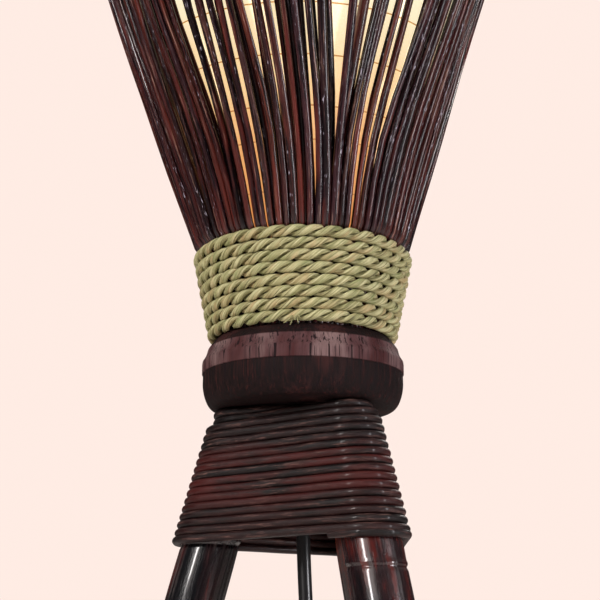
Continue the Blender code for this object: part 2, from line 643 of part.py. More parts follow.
def build_bulb():
    tip_top = BULB_BOTTOM + BULB_TIP_HEIGHT
    tip = rod_profile(BULB_TIP_RADIUS, BULB_BOTTOM, tip_top)
    turned("bulb_tip", tip, "brass", SMALL_STEPS, False)
    cap_bottom = tip_top + GAP
    cap_top = cap_bottom + BULB_CAP_HEIGHT
    inside = THREAD_RADIUS - BULB_CAP_WALL
    flat = BULB_TIP_RADIUS + BULB_CAP_FLAT
    shoulder = cap_bottom + BULB_CAP_SLOPE
    cap = [(0.0, cap_bottom + BULB_CAP_WALL), (flat, cap_bottom + 2 * BULB_CAP_WALL),
           (inside, shoulder + BULB_CAP_WALL), (inside, cap_top), (THREAD_RADIUS, cap_top),
           (THREAD_RADIUS, shoulder), (flat, cap_bottom), (0.0, cap_bottom)]
    turned("bulb_cap", cap, "brass", ROUND_STEPS, False)
    body_bottom = cap_top + GAP
    body_top = body_bottom + BULB_BODY_HEIGHT
    spigot = THREAD_RADIUS - BULB_CAP_WALL - GAP
    body = [(0.0, body_top), (BULB_BODY_RADIUS, body_top),
            (BULB_BODY_RADIUS - BULB_BODY_DRAFT, body_top - BULB_BAND_HEIGHT),
            (THREAD_RADIUS + BULB_LIP, body_bottom), (spigot, body_bottom),
            (spigot, body_bottom - BULB_SPIGOT), (0.0, body_bottom - BULB_SPIGOT)]
    turned("bulb_body", body, "bulb_plastic", ROUND_STEPS, False)
    rim = body_top + GAP
    low = math.acos(BULB_BODY_RADIUS / BULB_GLOBE_RADIUS)
    centre = rim + BULB_GLOBE_RADIUS * math.sin(low)
    angles = [math.pi / 2 - (math.pi / 2 + low) * step / GLOBE_STEPS for step in range(GLOBE_STEPS + 1)]
    outer = [(BULB_GLOBE_RADIUS * math.cos(a), centre + BULB_GLOBE_RADIUS * math.sin(a)) for a in angles]
    shell = BULB_GLOBE_RADIUS - BULB_GLOBE_WALL
    inner = [(shell * math.cos(a), max(rim, centre + shell * math.sin(a))) for a in reversed(angles)]
    outer[0] = (0.0, outer[0][1])
    inner[-1] = (0.0, inner[-1][1])
    turned("bulb_globe", outer + inner, "bulb_globe", ROUND_STEPS, False)


# Mains lead

def cord_tube(name, route):
    tube = curve_object(name, smooth_route(route, CORD_RADIUS * 5), CORD_RADIUS, 2)
    tube.data.materials.append(MATERIALS["cord_black"])
    PARTS.objects.link(tube)


def build_cord():
    end = GRIP_TOP - GRIP_LENGTH
    bore = CORD_RADIUS + GAP
    socket = TUBE_RADIUS + GAP
    seat = GRIP_TOP - TUBE_IN_GRIP - GAP
    grip = [(GRIP_TOP_RADIUS, GRIP_TOP), (GRIP_TOP_RADIUS, GRIP_TOP - GRIP_STRAIGHT),
            (GRIP_END_RADIUS, end), (bore, end), (bore, seat - (socket - bore) / 2),
            (socket, seat), (socket, GRIP_TOP)]
    turned("cord_grip", grip, "holder_plastic", SMALL_STEPS)
    flex = rod_profile(CORD_RADIUS, CORD_DROP_ROUTE[0][2] + GAP, HOLDER_BOTTOM + FLEX_IN_HOLDER)
    turned("inner_flex", flex, "cord_black", SMALL_STEPS, False)
    cord_tube("cord_drop", CORD_DROP_ROUTE)
    cord_tube("cord_lead", CORD_LEAD_ROUTE)
    cord_tube("cord_tail", CORD_TAIL_ROUTE)


def build_coil():
    top = COIL_BOTTOM + 2 * COIL_HALF_WIDTH
    trim = COIL_ROUNDING
    outer = COIL_RADIUS + COIL_HALF_WIDTH
    inner = COIL_RADIUS - COIL_HALF_WIDTH
    profile = [(outer - trim, top), (outer, top - trim), (outer, COIL_BOTTOM + trim),
               (outer - trim, COIL_BOTTOM), (inner + trim, COIL_BOTTOM), (inner, COIL_BOTTOM + trim),
               (inner, top - trim), (inner + trim, top)]
    turned("cord_coil", profile, "cord_black", ROUND_STEPS, True, (*COIL_CENTRE, 0.0))

    angle = math.radians(COIL_TIE_ANGLE)
    middle = Vector((COIL_CENTRE[0] + COIL_RADIUS * math.cos(angle),
                     COIL_CENTRE[1] + COIL_RADIUS * math.sin(angle), COIL_BOTTOM + COIL_HALF_WIDTH))
    turn = Matrix.Translation(middle) @ Matrix.Rotation(angle, 4, "Z")
    hole = 2 * COIL_HALF_WIDTH + 2 * GAP
    wrap = hole + 2 * COIL_TIE_WALL
    opening = box_mesh("tie_opening", (hole + GAP * 4, COIL_TIE_WIDTH * 2, hole), turn)
    wide = box_mesh("coil_tie", (wrap + GAP * 4, COIL_TIE_WIDTH, wrap), turn)
    combine(add_part("coil_tie", wide, "tie"), cutter("tie_opening", opening))


def box_mesh(name, size, matrix):
    box = bmesh.new()
    bmesh.ops.create_cube(box, size=1.0, matrix=matrix @ Matrix.Diagonal((*size, 1.0)))
    bmesh.ops.recalc_face_normals(box, faces=box.faces)
    mesh = bpy.data.meshes.new(name)
    box.to_mesh(mesh)
    box.free()
    return mesh


# Foot switch

def rounded_outline(length, width, corner):
    """A level outline with round corners, long along Y."""
    outline = []
    for sign_x, sign_y, start in ((1, 1, 0), (-1, 1, 90), (-1, -1, 180), (1, -1, 270)):
        for step in range(5):
            angle = math.radians(start + 22.5 * step)
            outline.append((sign_x * (width / 2 - corner) + corner * math.cos(angle),
                            sign_y * (length / 2 - corner) + corner * math.sin(angle)))
    return outline


def prism_mesh(name, outline, bottom, top, matrix):
    """A flat outline drawn as a filled curve and extruded between two heights."""
    curve = bpy.data.curves.new(name, "CURVE")
    curve.dimensions = "2D"
    curve.fill_mode = "BOTH"
    curve.extrude = (top - bottom) / 2
    spline = curve.splines.new("POLY")
    spline.points.add(len(outline) - 1)
    for target, (x, y) in zip(spline.points, outline):
        target.co = (x, y, 0.0, 1.0)
    spline.use_cyclic_u = True
    plate = bpy.data.objects.new(name, curve)
    plate.matrix_world = matrix @ Matrix.Translation((0.0, 0.0, (top + bottom) / 2))
    CUTTERS.objects.link(plate)
    return evaluated_mesh(plate)


def build_switch():
    place = Matrix.Translation((*SWITCH_CENTRE, 0.0))
    outline = rounded_outline(SWITCH_LENGTH, SWITCH_WIDTH, SWITCH_CORNER)
    add_part("switch_base", prism_mesh("switch_base", outline, 0.0, SWITCH_BASE_HEIGHT, place),
             "holder_plastic")

    bottom = SWITCH_BASE_HEIGHT + GAP
    top = bottom + SWITCH_COVER_HEIGHT
    cover = add_part("switch_cover", prism_mesh("switch_cover", outline, bottom, top, place),
                     "holder_plastic")
    hollow = rounded_outline(SWITCH_LENGTH - 2 * SWITCH_WALL, SWITCH_WIDTH - 2 * SWITCH_WALL,
                             SWITCH_CORNER - SWITCH_WALL)
    inside = prism_mesh("switch_hollow", hollow, bottom - CUT_PAST, top - SWITCH_WALL, place)
    combine(cover, cutter("switch_hollow", inside))
    well = turned_mesh(rod_profile(BUTTON_RADIUS + GAP, top - CUT_PAST, top + CUT_PAST),
                       ROUND_STEPS, False)
    well.transform(place)
    combine(cover, cutter("button_well", well))
    along = turned_mesh(rod_profile(CORD_RADIUS + GAP, -SWITCH_LENGTH, SWITCH_LENGTH),
                        SMALL_STEPS, False)
    lay_down = Matrix.Rotation(math.pi / 2, 4, "X")
    along.transform(place @ Matrix.Translation((0.0, 0.0, SWITCH_CORD_Z)) @ lay_down)
    combine(cover, cutter("cord_ways", along))

    button_end = BUTTON_TOP - BUTTON_DEPTH
    button = [(0.0, BUTTON_TOP), (BUTTON_RADIUS - BUTTON_BEVEL, BUTTON_TOP),
              (BUTTON_RADIUS, BUTTON_TOP - BUTTON_BEVEL), (BUTTON_RADIUS, button_end),
              (0.0, button_end)]
    turned("switch_button", button, "holder_plastic", ROUND_STEPS, False, (*SWITCH_CENTRE, 0.0))

    for number, side in enumerate((-1, 1), 1):
        start = side * (SWITCH_LENGTH / 2 + GAP)
        relief = [(RELIEF_ROOT_RADIUS, 0.0), (RELIEF_TIP_RADIUS, -RELIEF_LENGTH),
                  (CORD_RADIUS + GAP, -RELIEF_LENGTH),
                  (CORD_RADIUS + GAP, 0.0)]
        mesh = turned_mesh(relief, SMALL_STEPS, True)
        point = Matrix.Translation((SWITCH_CENTRE[0], SWITCH_CENTRE[1] + start, SWITCH_CORD_Z))
        mesh.transform(point @ Matrix.Rotation(side * math.pi / 2, 4, "X"))
        smooth(add_part(f"switch_relief_{number}", mesh, "holder_plastic"))


# Plug

def build_plug():
    heading = Matrix.Rotation(math.radians(PLUG_HEADING), 4, "Z")
    place = Matrix.Translation((*PLUG_CENTRE, 0.0)) @ heading
    back = -PLUG_LENGTH / 2
    front = PLUG_LENGTH / 2
    half = PLUG_WIDTH / 2
    neck_end = back - PLUG_NECK_LENGTH
    side = [(front, PLUG_FACE_HALF), (front - PLUG_BEVEL, half), (front - PLUG_FULL, half),
            (back, PLUG_BACK_HALF), (neck_end, PLUG_NECK_HALF)]
    outline = side + [(x, -y) for x, y in reversed(side)]
    mesh = prism_mesh("plug_body", outline, PLUG_LIFT, PLUG_LIFT + PLUG_THICKNESS, place)
    body = add_part("plug_body", mesh, "holder_plastic")
    axis_height = PLUG_LIFT + PLUG_THICKNESS / 2
    onto_x = Matrix.Rotation(math.pi / 2, 4, "Y")
    for number, side in enumerate((-1, 1), 1):
        root = Matrix.Translation((front, side * PLUG_PIN_SPACING / 2, axis_height))
        hole = turned_mesh(rod_profile(PLUG_PIN_RADIUS + GAP, -PLUG_PIN_ROOT - GAP, CUT_PAST),
                           SMALL_STEPS, False)
        hole.transform(place @ root @ onto_x)
        combine(body, cutter(f"plug_pin_hole_{number}", hole))
        pin = turned_mesh(rod_profile(PLUG_PIN_RADIUS, -PLUG_PIN_ROOT, PLUG_PIN_LENGTH),
                          SMALL_STEPS, False)
        pin.transform(place @ root @ onto_x)
        smooth(add_part(f"plug_pin_{number}", pin, "brass"))


for leg_index in range(3):
    build_leg(leg_index)
    build_dowel_and_screw(leg_index)
build_binding()
build_collar()
build_hub()
for panel_number in range(1, PANEL_COUNT + 1):
    build_stick_panel(panel_number)
build_rope()
build_lantern()
build_tube_and_nuts()
build_lamp_holder()
build_bulb()
build_cord()
build_coil()
build_switch()
build_plug()
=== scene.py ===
"""Looks of a tripod floor lamp with a shade of dark sticks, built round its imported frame.

Metres, +Z up, in the frame's own coordinates. Azimuths are degrees from +X, and the camera
stands on the -Y side.
"""
import math
import random

import bmesh
import bpy
from mathutils import Matrix, Vector, noise


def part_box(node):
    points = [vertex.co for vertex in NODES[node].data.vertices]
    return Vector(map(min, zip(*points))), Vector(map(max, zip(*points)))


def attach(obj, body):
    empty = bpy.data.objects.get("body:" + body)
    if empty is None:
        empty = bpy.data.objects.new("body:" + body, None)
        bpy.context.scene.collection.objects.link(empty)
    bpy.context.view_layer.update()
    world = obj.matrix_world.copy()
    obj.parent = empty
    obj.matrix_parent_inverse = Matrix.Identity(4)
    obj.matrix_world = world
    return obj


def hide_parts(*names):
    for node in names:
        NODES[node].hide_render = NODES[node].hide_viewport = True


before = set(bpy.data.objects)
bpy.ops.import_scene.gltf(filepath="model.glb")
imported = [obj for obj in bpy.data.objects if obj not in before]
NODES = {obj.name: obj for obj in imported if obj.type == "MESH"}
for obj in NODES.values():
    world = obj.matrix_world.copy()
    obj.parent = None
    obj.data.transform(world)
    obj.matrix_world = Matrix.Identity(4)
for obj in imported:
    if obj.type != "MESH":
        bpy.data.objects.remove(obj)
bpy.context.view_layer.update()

TAU = 2 * math.pi


# Camera, floor and light

CAMERA_PLACE = (-0.0015, -0.80, 0.490)
CAMERA_PITCH = 13.88              # degrees above level
CAMERA_LENS = 94.7
STUDIO_TINT = (1.0, 0.84, 0.775)
AMBIENT = (0.05, 0.50)            # brightness of the surroundings, low down and overhead


def add_camera():
    data = bpy.data.cameras.new("camera")
    data.lens = CAMERA_LENS
    data.sensor_width = 36.0
    data.clip_start = 0.01
    camera = bpy.data.objects.new("camera", data)
    camera.location = CAMERA_PLACE
    camera.rotation_euler = (math.radians(90 + CAMERA_PITCH), 0.0, 0.0)
    bpy.context.scene.collection.objects.link(camera)
    bpy.context.scene.camera = camera


def link(name, mesh):
    piece = bpy.data.objects.new(name, mesh)
    bpy.context.scene.collection.objects.link(piece)
    return piece


def add_softbox(name, place, target, size, power, colour):
    data = bpy.data.lights.new(name, "AREA")
    data.shape = "RECTANGLE"
    data.size, data.size_y = size
    data.energy = power
    data.color = colour
    lamp = link(name, data)
    lamp.location = place
    aim = Vector(target) - Vector(place)
    lamp.rotation_euler = aim.to_track_quat("-Z", "Y").to_euler()


def add_studio():
    world = bpy.data.worlds.new("studio")
    bpy.context.scene.world = world
    world.use_nodes = True
    tree = world.node_tree
    seen = tree.nodes["Background"]
    seen.inputs["Color"].default_value = (*STUDIO_TINT, 1.0)
    ambient = tree.nodes.new("ShaderNodeBackground")
    ambient.inputs["Color"].default_value = (1.0, 0.93, 0.90, 1.0)
    upright = tree.nodes.new("ShaderNodeSeparateXYZ")
    tree.links.new(tree.nodes.new("ShaderNodeTexCoord").outputs["Generated"], upright.inputs[0])
    level = tree.nodes.new("ShaderNodeMapRange")
    level.inputs["From Min"].default_value = 0.30
    level.inputs["From Max"].default_value = 0.95
    level.inputs["To Min"].default_value, level.inputs["To Max"].default_value = AMBIENT
    tree.links.new(upright.outputs["Z"], level.inputs["Value"])
    tree.links.new(level.outputs[0], ambient.inputs["Strength"])
    either = tree.nodes.new("ShaderNodeMixShader")
    path = tree.nodes.new("ShaderNodeLightPath")
    tree.links.new(path.outputs["Is Camera Ray"], either.inputs[0])
    tree.links.new(ambient.outputs[0], either.inputs[1])
    tree.links.new(seen.outputs[0], either.inputs[2])
    tree.links.new(either.outputs[0], tree.nodes["World Output"].inputs["Surface"])
    add_softbox("key", (-1.1, -1.3, 1.5), (0, 0, 0.70), (0.22, 1.1), 40.0, (1.0, 0.96, 0.94))
    add_softbox("fill", (1.5, -0.9, 0.8), (0, 0, 0.65), (0.16, 1.2), 26.0, (0.97, 0.96, 1.0))
    add_softbox("back", (0.5, 1.4, 1.7), (0, 0, 0.75), (0.9, 0.9), 14.0, (1.0, 0.96, 0.92))

    ground = bmesh.new()
    bmesh.ops.create_circle(ground, cap_ends=True, segments=64, radius=6.0)
    mesh = bpy.data.meshes.new("floor")
    ground.to_mesh(mesh)
    ground.free()
    floor = link("floor", mesh)
    floor.location.z = -0.0005
    mesh.materials.append(plain_floor())


# Material building blocks

class Recipe:
    """A Principled material, with short calls for the nodes that vary it."""

    def __init__(self, name, roughness=0.5, metallic=0.0, coat=0.0, specular=0.5):
        self.material = bpy.data.materials.new(name)
        self.material.use_nodes = True
        self.tree = self.material.node_tree
        self.shader = self.tree.nodes["Principled BSDF"]
        self.shader.inputs["Roughness"].default_value = roughness
        self.shader.inputs["Metallic"].default_value = metallic
        self.shader.inputs["Coat Weight"].default_value = coat
        self.shader.inputs["Coat Roughness"].default_value = 0.09
        self.shader.inputs["Specular IOR Level"].default_value = specular

    def node(self, kind, **settings):
        made = self.tree.nodes.new(kind)
        for key, value in settings.items():
            setattr(made, key, value)
        return made

    def wire(self, source, target):
        self.tree.links.new(source, target)

    def place(self, scale, source="Object", attribute=None):
        """Coordinates stretched by a scale for each axis."""
        if source == "UV":
            start = self.node("ShaderNodeUVMap").outputs["UV"]
        else:
            start = self.node("ShaderNodeTexCoord").outputs[source]
        mapping = self.node("ShaderNodeMapping")
        mapping.inputs["Scale"].default_value = scale
        self.wire(start, mapping.inputs["Vector"])
        if attribute:
            shift = self.node("ShaderNodeVectorMath", operation="ADD")
            self.wire(mapping.outputs["Vector"], shift.inputs[0])
            self.wire(self.scaled(self.value_of(attribute), 37.0), shift.inputs[1])
            return shift.outputs["Vector"]
        return mapping.outputs["Vector"]

    def value_of(self, attribute):
        return self.node("ShaderNodeAttribute", attribute_name=attribute).outputs["Fac"]

    def scaled(self, value, factor, offset=0.0):
        math_node = self.node("ShaderNodeMath", operation="MULTIPLY_ADD")
        self.wire(value, math_node.inputs[0])
        math_node.inputs[1].default_value = factor
        math_node.inputs[2].default_value = offset
        return math_node.outputs[0]

    def noise(self, vector, scale=1.0, detail=4.0, roughness=0.55, distortion=0.0):
        cloud = self.node("ShaderNodeTexNoise")
        cloud.inputs["Scale"].default_value = scale
        cloud.inputs["Detail"].default_value = detail
        cloud.inputs["Roughness"].default_value = roughness
        cloud.inputs["Distortion"].default_value = distortion
        self.wire(vector, cloud.inputs["Vector"])
        return cloud.outputs["Fac"]

    def ramp(self, value, stops, smooth=False):
        ramp = self.node("ShaderNodeValToRGB")
        band = ramp.color_ramp
        if smooth:
            band.interpolation = "EASE"
        while len(band.elements) < len(stops):
            band.elements.new(0.5)
        for element, (position, colour) in zip(band.elements, stops):
            element.position = position
            if isinstance(colour, (int, float)):
                colour = (colour, colour, colour)
            element.color = (*colour, 1.0)
        self.wire(value, ramp.inputs["Fac"])
        return ramp.outputs["Color"]

    def mix(self, factor, first, second, blend="MIX"):
        mixer = self.node("ShaderNodeMix", data_type="RGBA", blend_type=blend)
        sockets = [s for s in mixer.inputs if s.enabled or s.type == "RGBA"]
        colours = [s for s in sockets if s.type == "RGBA"]
        for socket, value in ((mixer.inputs[0], factor), (colours[0], first), (colours[1], second)):
            if isinstance(value, (int, float)):
                socket.default_value = value
            elif isinstance(value, tuple):
                socket.default_value = (*value, 1.0)
            else:
                self.wire(value, socket)
        return [s for s in mixer.outputs if s.type == "RGBA"][0]

    def combine(self, first, second, operation="MULTIPLY"):
        math_node = self.node("ShaderNodeMath", operation=operation)
        for socket, value in zip(math_node.inputs, (first, second)):
            if isinstance(value, (int, float)):
                socket.default_value = value
            else:
                self.wire(value, socket)
        return math_node.outputs[0]

    def bump(self, height, distance, strength=1.0, below=None):
        bump = self.node("ShaderNodeBump")
        bump.inputs["Distance"].default_value = distance
        bump.inputs["Strength"].default_value = strength
        self.wire(height, bump.inputs["Height"])
        if below is not None:
            self.wire(below, bump.inputs["Normal"])
        return bump.outputs["Normal"]

    def finish(self, colour=None, roughness=None, normal=None):
        for value, name in ((colour, "Base Color"), (roughness, "Roughness"), (normal, "Normal")):
            if value is not None:
                self.wire(value, self.shader.inputs[name])
        return self.material


# Mesh building blocks

class Pile:
    """Gathers swept tubes into one mesh, with UVs in metres along and a tone for each tube."""

    def __init__(self):
        self.points, self.faces, self.uvs, self.tones = [], [], [], []

    def sweep(self, rings, tone=0.5, closed=False, start=0.0):
        """Skin a list of rings of points. UV x runs round from 0 to 1, and y runs along in metres."""
        base, sides, along = len(self.points), len(rings[0]), start
        for ring in rings:
            self.points.extend(ring)
            self.tones.extend([tone] * sides)
        for row in range(len(rings) - 1):
            step = (sum(rings[row + 1], Vector()) - sum(rings[row], Vector())).length / sides
            for side in range(sides):
                after = (side + 1) % sides
                low, high = base + row * sides, base + (row + 1) * sides
                self.faces.append((low + side, low + after, high + after, high + side))
                u, v = side / sides, (side + 1) / sides
                self.uvs.append(((u, along), (v, along), (v, along + step), (u, along + step)))
            along += step
        if not closed:
            for row, flip in ((0, True), (len(rings) - 1, False)):
                cap = [base + row * sides + side for side in range(sides)]
                self.faces.append(tuple(reversed(cap)) if flip else tuple(cap))
                self.uvs.append(tuple((0.5, start) for _ in cap))

    def make(self, name, material, sharp=50.0):
        mesh = bpy.data.meshes.new(name)
        mesh.from_pydata(self.points, [], self.faces)
        layer = mesh.uv_layers.new(name="UVMap")
        corners = [corner for face in self.uvs for corner in face]
        layer.data.foreach_set("uv", [number for corner in corners for number in corner])
        tone = mesh.attributes.new("tone", "FLOAT", "POINT")
        tone.data.foreach_set("value", self.tones)
        mesh.materials.append(material)
        fixer = bmesh.new()
        fixer.from_mesh(mesh)
        bmesh.ops.recalc_face_normals(fixer, faces=fixer.faces)
        fixer.to_mesh(mesh)
        fixer.free()
        mesh.shade_smooth()
        mesh.set_sharp_from_angle(angle=math.radians(sharp))
        return link(name, mesh)


def outward(point):
    """Level unit vector away from the lamp's axis."""
    return Vector((point.x, point.y, 0.0)).normalized()


def tube_rings(centres, half_width, half_depth, sides, turned=None, wobble=None):
    """Oval rings along a path. Width is sideways, and depth is outward from the lamp's axis."""
    rings = []
    last = len(centres) - 1
    for index, centre in enumerate(centres):
        along = (centres[min(index + 1, last)] - centres[max(index - 1, 0)]).normalized()
        depth_axis = outward(centre)
        depth_axis = (depth_axis - along * depth_axis.dot(along)).normalized()
        width_axis = along.cross(depth_axis)
        width = half_width(index) if callable(half_width) else half_width
        depth = half_depth(index) if callable(half_depth) else half_depth
        twist = turned(index) if turned else 0.0
        ring = []
        for side in range(sides):
            angle = TAU * side / sides + twist
            swell = wobble(index, side) if wobble else 1.0
            ring.append(centre + width_axis * (width * swell * math.cos(angle))
                        + depth_axis * (depth * swell * math.sin(angle)))
        rings.append(ring)
    return rings


def lathe(name, profile, material, steps=96, sharp=30.0, centre=(0.0, 0.0)):
    """A turned piece from an (r, z) profile that starts and ends on the axis or closes on itself."""
    pile = Pile()
    rings = []
    for step in range(steps):
        angle = TAU * step / steps
        rings.append([Vector((centre[0] + r * math.cos(angle), centre[1] + r * math.sin(angle), z))
                      for r, z in profile])
    on_axis = profile[0][0] < 1e-6
    base = len(pile.points)
    count = len(profile)
    for ring in rings:
        pile.points.extend(ring)
        pile.tones.extend([0.5] * count)
    spans = count - 1 if on_axis else count
    for step in range(steps):
        after = (step + 1) % steps
        for index in range(spans):
            low, high = index, (index + 1) % count
            corners = [step * count + low, step * count + high,
                       after * count + high, after * count + low]
            pile.faces.append(tuple(base + corner for corner in corners))
            u, v = step / steps, (step + 1) / steps
            a, b = profile[low][1], profile[high][1]
            pile.uvs.append(((u, a), (u, b), (v, b), (v, a)))
    piece = pile.make(name, material, sharp)
    tidy = bmesh.new()
    tidy.from_mesh(piece.data)
    bmesh.ops.remove_doubles(tidy, verts=tidy.verts, dist=1e-6)
    bmesh.ops.dissolve_degenerate(tidy, edges=tidy.edges, dist=1e-7)
    bmesh.ops.recalc_face_normals(tidy, faces=tidy.faces)
    tidy.to_mesh(piece.data)
    tidy.free()
    piece.data.shade_smooth()
    piece.data.set_sharp_from_angle(angle=math.radians(sharp))
    return piece


def arc_points(start, end, bulge, count):
    """Profile points from start to end that bow out by a bulge at the middle."""
    a, b = Vector(start), Vector(end)
    across = Vector((b.y - a.y, a.x - b.x)).normalized()
    points = []
    for index in range(count + 1):
        t = index / count
        points.append(tuple(a.lerp(b, t) + across * bulge * math.sin(math.pi * t)))
    return points


def dress(piece, body, slot, *replaced):
    """Put a piece on the body it rides on and hide the nodes that it stands for; the slot is not used."""
    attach(piece, body)
    if replaced:
        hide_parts(*replaced)
    return piece


# Places read from the frame

FOOT_LOW, FOOT_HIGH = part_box("stick_panel_01")
ROPE_LOW, ROPE_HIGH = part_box("seagrass_rope")
COLLAR_LOW, COLLAR_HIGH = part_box("turned_collar")
BINDING_LOW, BINDING_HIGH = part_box("rattan_binding")
HUB_LOW, HUB_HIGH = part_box("stick_hub")
PAPER_LOW, PAPER_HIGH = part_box("lantern_paper")


def level_section(node, highest):
    """Centre and radius of a leg node's end."""
    points = [vertex.co for vertex in NODES[node].data.vertices]
    level = max(p.z for p in points) if highest else min(p.z for p in points)
    ring = [p for p in points if abs(p.z - level) < 1e-5]
    low = Vector((min(p.x for p in ring), min(p.y for p in ring), level))
    high = Vector((max(p.x for p in ring), max(p.y for p in ring), level))
    return (low + high) / 2, (high.x - low.x) / 2


LEG_ENDS = [(level_section(f"leg_{n}", False), level_section(f"leg_{n}", True)) for n in (1, 2, 3)]
LEG_NECK_HEIGHT = 0.064           # length of a leg that is shaved down under the binding


def leg_axis(leg, height):
    (low, _), (high, _) = LEG_ENDS[leg]
    return low.lerp(high, (height - low.z) / (high.z - low.z))


def leg_radius(leg, height):
    (_, full), (top, neck) = LEG_ENDS[leg]
    share = (height - (top.z - LEG_NECK_HEIGHT)) / LEG_NECK_HEIGHT
    return full - (full - neck) * min(max(share, 0.0), 1.0)


# Materials

# Stain of one stick or another, by its tone
STICK_SHADES = [(0.00, (0.010, 0.002, 0.003)), (0.18, (0.040, 0.012, 0.016)),
                (0.34, (0.004, 0.001, 0.002)), (0.52, (0.055, 0.009, 0.008)),
                (0.68, (0.012, 0.004, 0.007)), (0.84, (0.085, 0.016, 0.008)),
                (1.00, (0.032, 0.012, 0.012))]


def plain_floor():
    floor = Recipe("plain_floor", roughness=0.9, specular=0.1)
    cloud = floor.noise(floor.place((3.0, 3.0, 3.0)), detail=2.0)
    return floor.finish(floor.ramp(cloud, [(0.3, (0.90, 0.83, 0.80)), (0.7, (0.93, 0.86, 0.83))]))


def lacquered_stick():
    """Dark stained sticks under lacquer, each its own shade, with fine streaks and painted bluish-white
    highlights (glints).
    """
    stick = Recipe("lacquered_stick", coat=0.42, specular=0.12)
    broad = stick.noise(stick.place((1.6, 15.0, 1.0), "UV", "tone"), detail=4.0)
    fine = stick.noise(stick.place((11.0, 26.0, 1.0), "UV", "tone"), detail=5.0, roughness=0.75)
    painted_glint_speck = stick.noise(stick.place((16.0, 260.0, 1.0), "UV", "tone"), detail=3.0)
    shade = stick.ramp(stick.value_of("tone"), STICK_SHADES)
    black = stick.ramp(fine, [(0.45, 0.95), (0.52, 0.0)])
    colour = stick.mix(black, shade, (0.002, 0.001, 0.002))
    ruddy = stick.ramp(broad, [(0.52, 0.0), (0.66, 0.8)])
    colour = stick.mix(ruddy, colour, (0.105, 0.017, 0.012))
    worn = stick.ramp(fine, [(0.60, 0.0), (0.67, 0.8)])
    colour = stick.mix(worn, colour, (0.34, 0.19, 0.14))
    # Painted highlight: bluish-white glints painted into the colour, in specks along the sticks where the
    # broad noise is low.
    painted_glint = stick.combine(stick.ramp(painted_glint_speck, [(0.62, 0.0), (0.68, 0.95)]),
                          stick.ramp(broad, [(0.38, 1.0), (0.48, 0.0)]))
    colour = stick.mix(painted_glint, colour, (0.42, 0.38, 0.46))
    rough = stick.ramp(fine, [(0.40, 0.14), (0.62, 0.45)])
    return stick.finish(colour, rough, stick.bump(fine, 0.0005, 0.7))


def twisted_grass():
    """Green-yellow seagrass: fibres along each strand, straw patches and dry flecks."""
    grass = Recipe("twisted_grass", roughness=0.62, specular=0.32)
    fibre = grass.noise(grass.place((11.0, 60.0, 1.0), "UV", "tone"), detail=5.0, roughness=0.65)
    patch = grass.noise(grass.place((0.8, 95.0, 1.0), "UV", "tone"), detail=2.0)
    colour = grass.ramp(fibre, [(0.34, (0.070, 0.060, 0.022)), (0.46, (0.24, 0.225, 0.095)),
                                (0.62, (0.47, 0.445, 0.245))])
    straw = grass.ramp(patch, [(0.52, 0.0), (0.72, 0.62)])
    colour = grass.mix(straw, colour, (0.40, 0.27, 0.13))
    green = grass.ramp(patch, [(0.30, 0.50), (0.44, 0.0)])
    colour = grass.mix(green, colour, (0.185, 0.215, 0.080))
    flecks = grass.ramp(fibre, [(0.20, 0.8), (0.27, 0.0)])
    colour = grass.mix(flecks, colour, (0.10, 0.06, 0.03))
    return grass.finish(colour, None, grass.bump(fibre, 0.0005, 0.8))


def wound_rattan():
    """Dark cane with fine bright scratches along it and mahogany stretches."""
    cane = Recipe("wound_rattan", coat=0.10, specular=0.2)
    streak = cane.noise(cane.place((9.0, 60.0, 1.0), "UV", "tone"), detail=6.0, roughness=0.78)
    stretch = cane.noise(cane.place((0.8, 11.0, 1.0), "UV", "tone"), detail=4.0, roughness=0.7)
    colour = cane.ramp(streak, [(0.42, (0.002, 0.001, 0.001)), (0.55, (0.008, 0.003, 0.003)),
                                (0.66, (0.115, 0.060, 0.050))])
    height = cane.node("ShaderNodeSeparateXYZ")
    cane.wire(cane.node("ShaderNodeTexCoord").outputs["Object"], height.inputs[0])
    span = BINDING_HIGH.z - BINDING_LOW.z
    share = cane.scaled(height.outputs["Z"], 1.0 / span, -BINDING_LOW.z / span)
    middle = cane.ramp(share, [(0.18, 0.22), (0.38, 1.0), (0.60, 1.0), (0.74, 0.10)])
    red = cane.combine(cane.ramp(stretch, [(0.44, 0.0), (0.56, 0.9)]), middle)
    colour = cane.mix(red, colour, (0.050, 0.006, 0.005))
    rough = cane.ramp(streak, [(0.36, 0.34), (0.66, 0.62)])
    return cane.finish(colour, rough, cane.bump(streak, 0.0006, 0.8))


def stained_bamboo():
    """Glossy dark bamboo with long streaks and red wear."""
    bamboo = Recipe("stained_bamboo", coat=0.5, specular=0.3)
    broad = bamboo.noise(bamboo.place((5.0, 9.0, 1.0), "UV", "tone"), detail=5.0, roughness=0.65)
    fine = bamboo.noise(bamboo.place((30.0, 14.0, 1.0), "UV", "tone"), detail=6.0, roughness=0.75)
    colour = bamboo.ramp(broad, [(0.40, (0.003, 0.003, 0.004)), (0.50, (0.014, 0.005, 0.006)),
                                 (0.57, (0.065, 0.008, 0.006)), (0.66, (0.17, 0.026, 0.014))])
    worn = bamboo.ramp(fine, [(0.56, 0.0), (0.68, 0.6)])
    colour = bamboo.mix(worn, colour, (0.13, 0.105, 0.10))
    rough = bamboo.ramp(fine, [(0.36, 0.12), (0.66, 0.42)])
    return bamboo.finish(colour, rough, bamboo.bump(fine, 0.0004, 0.6))


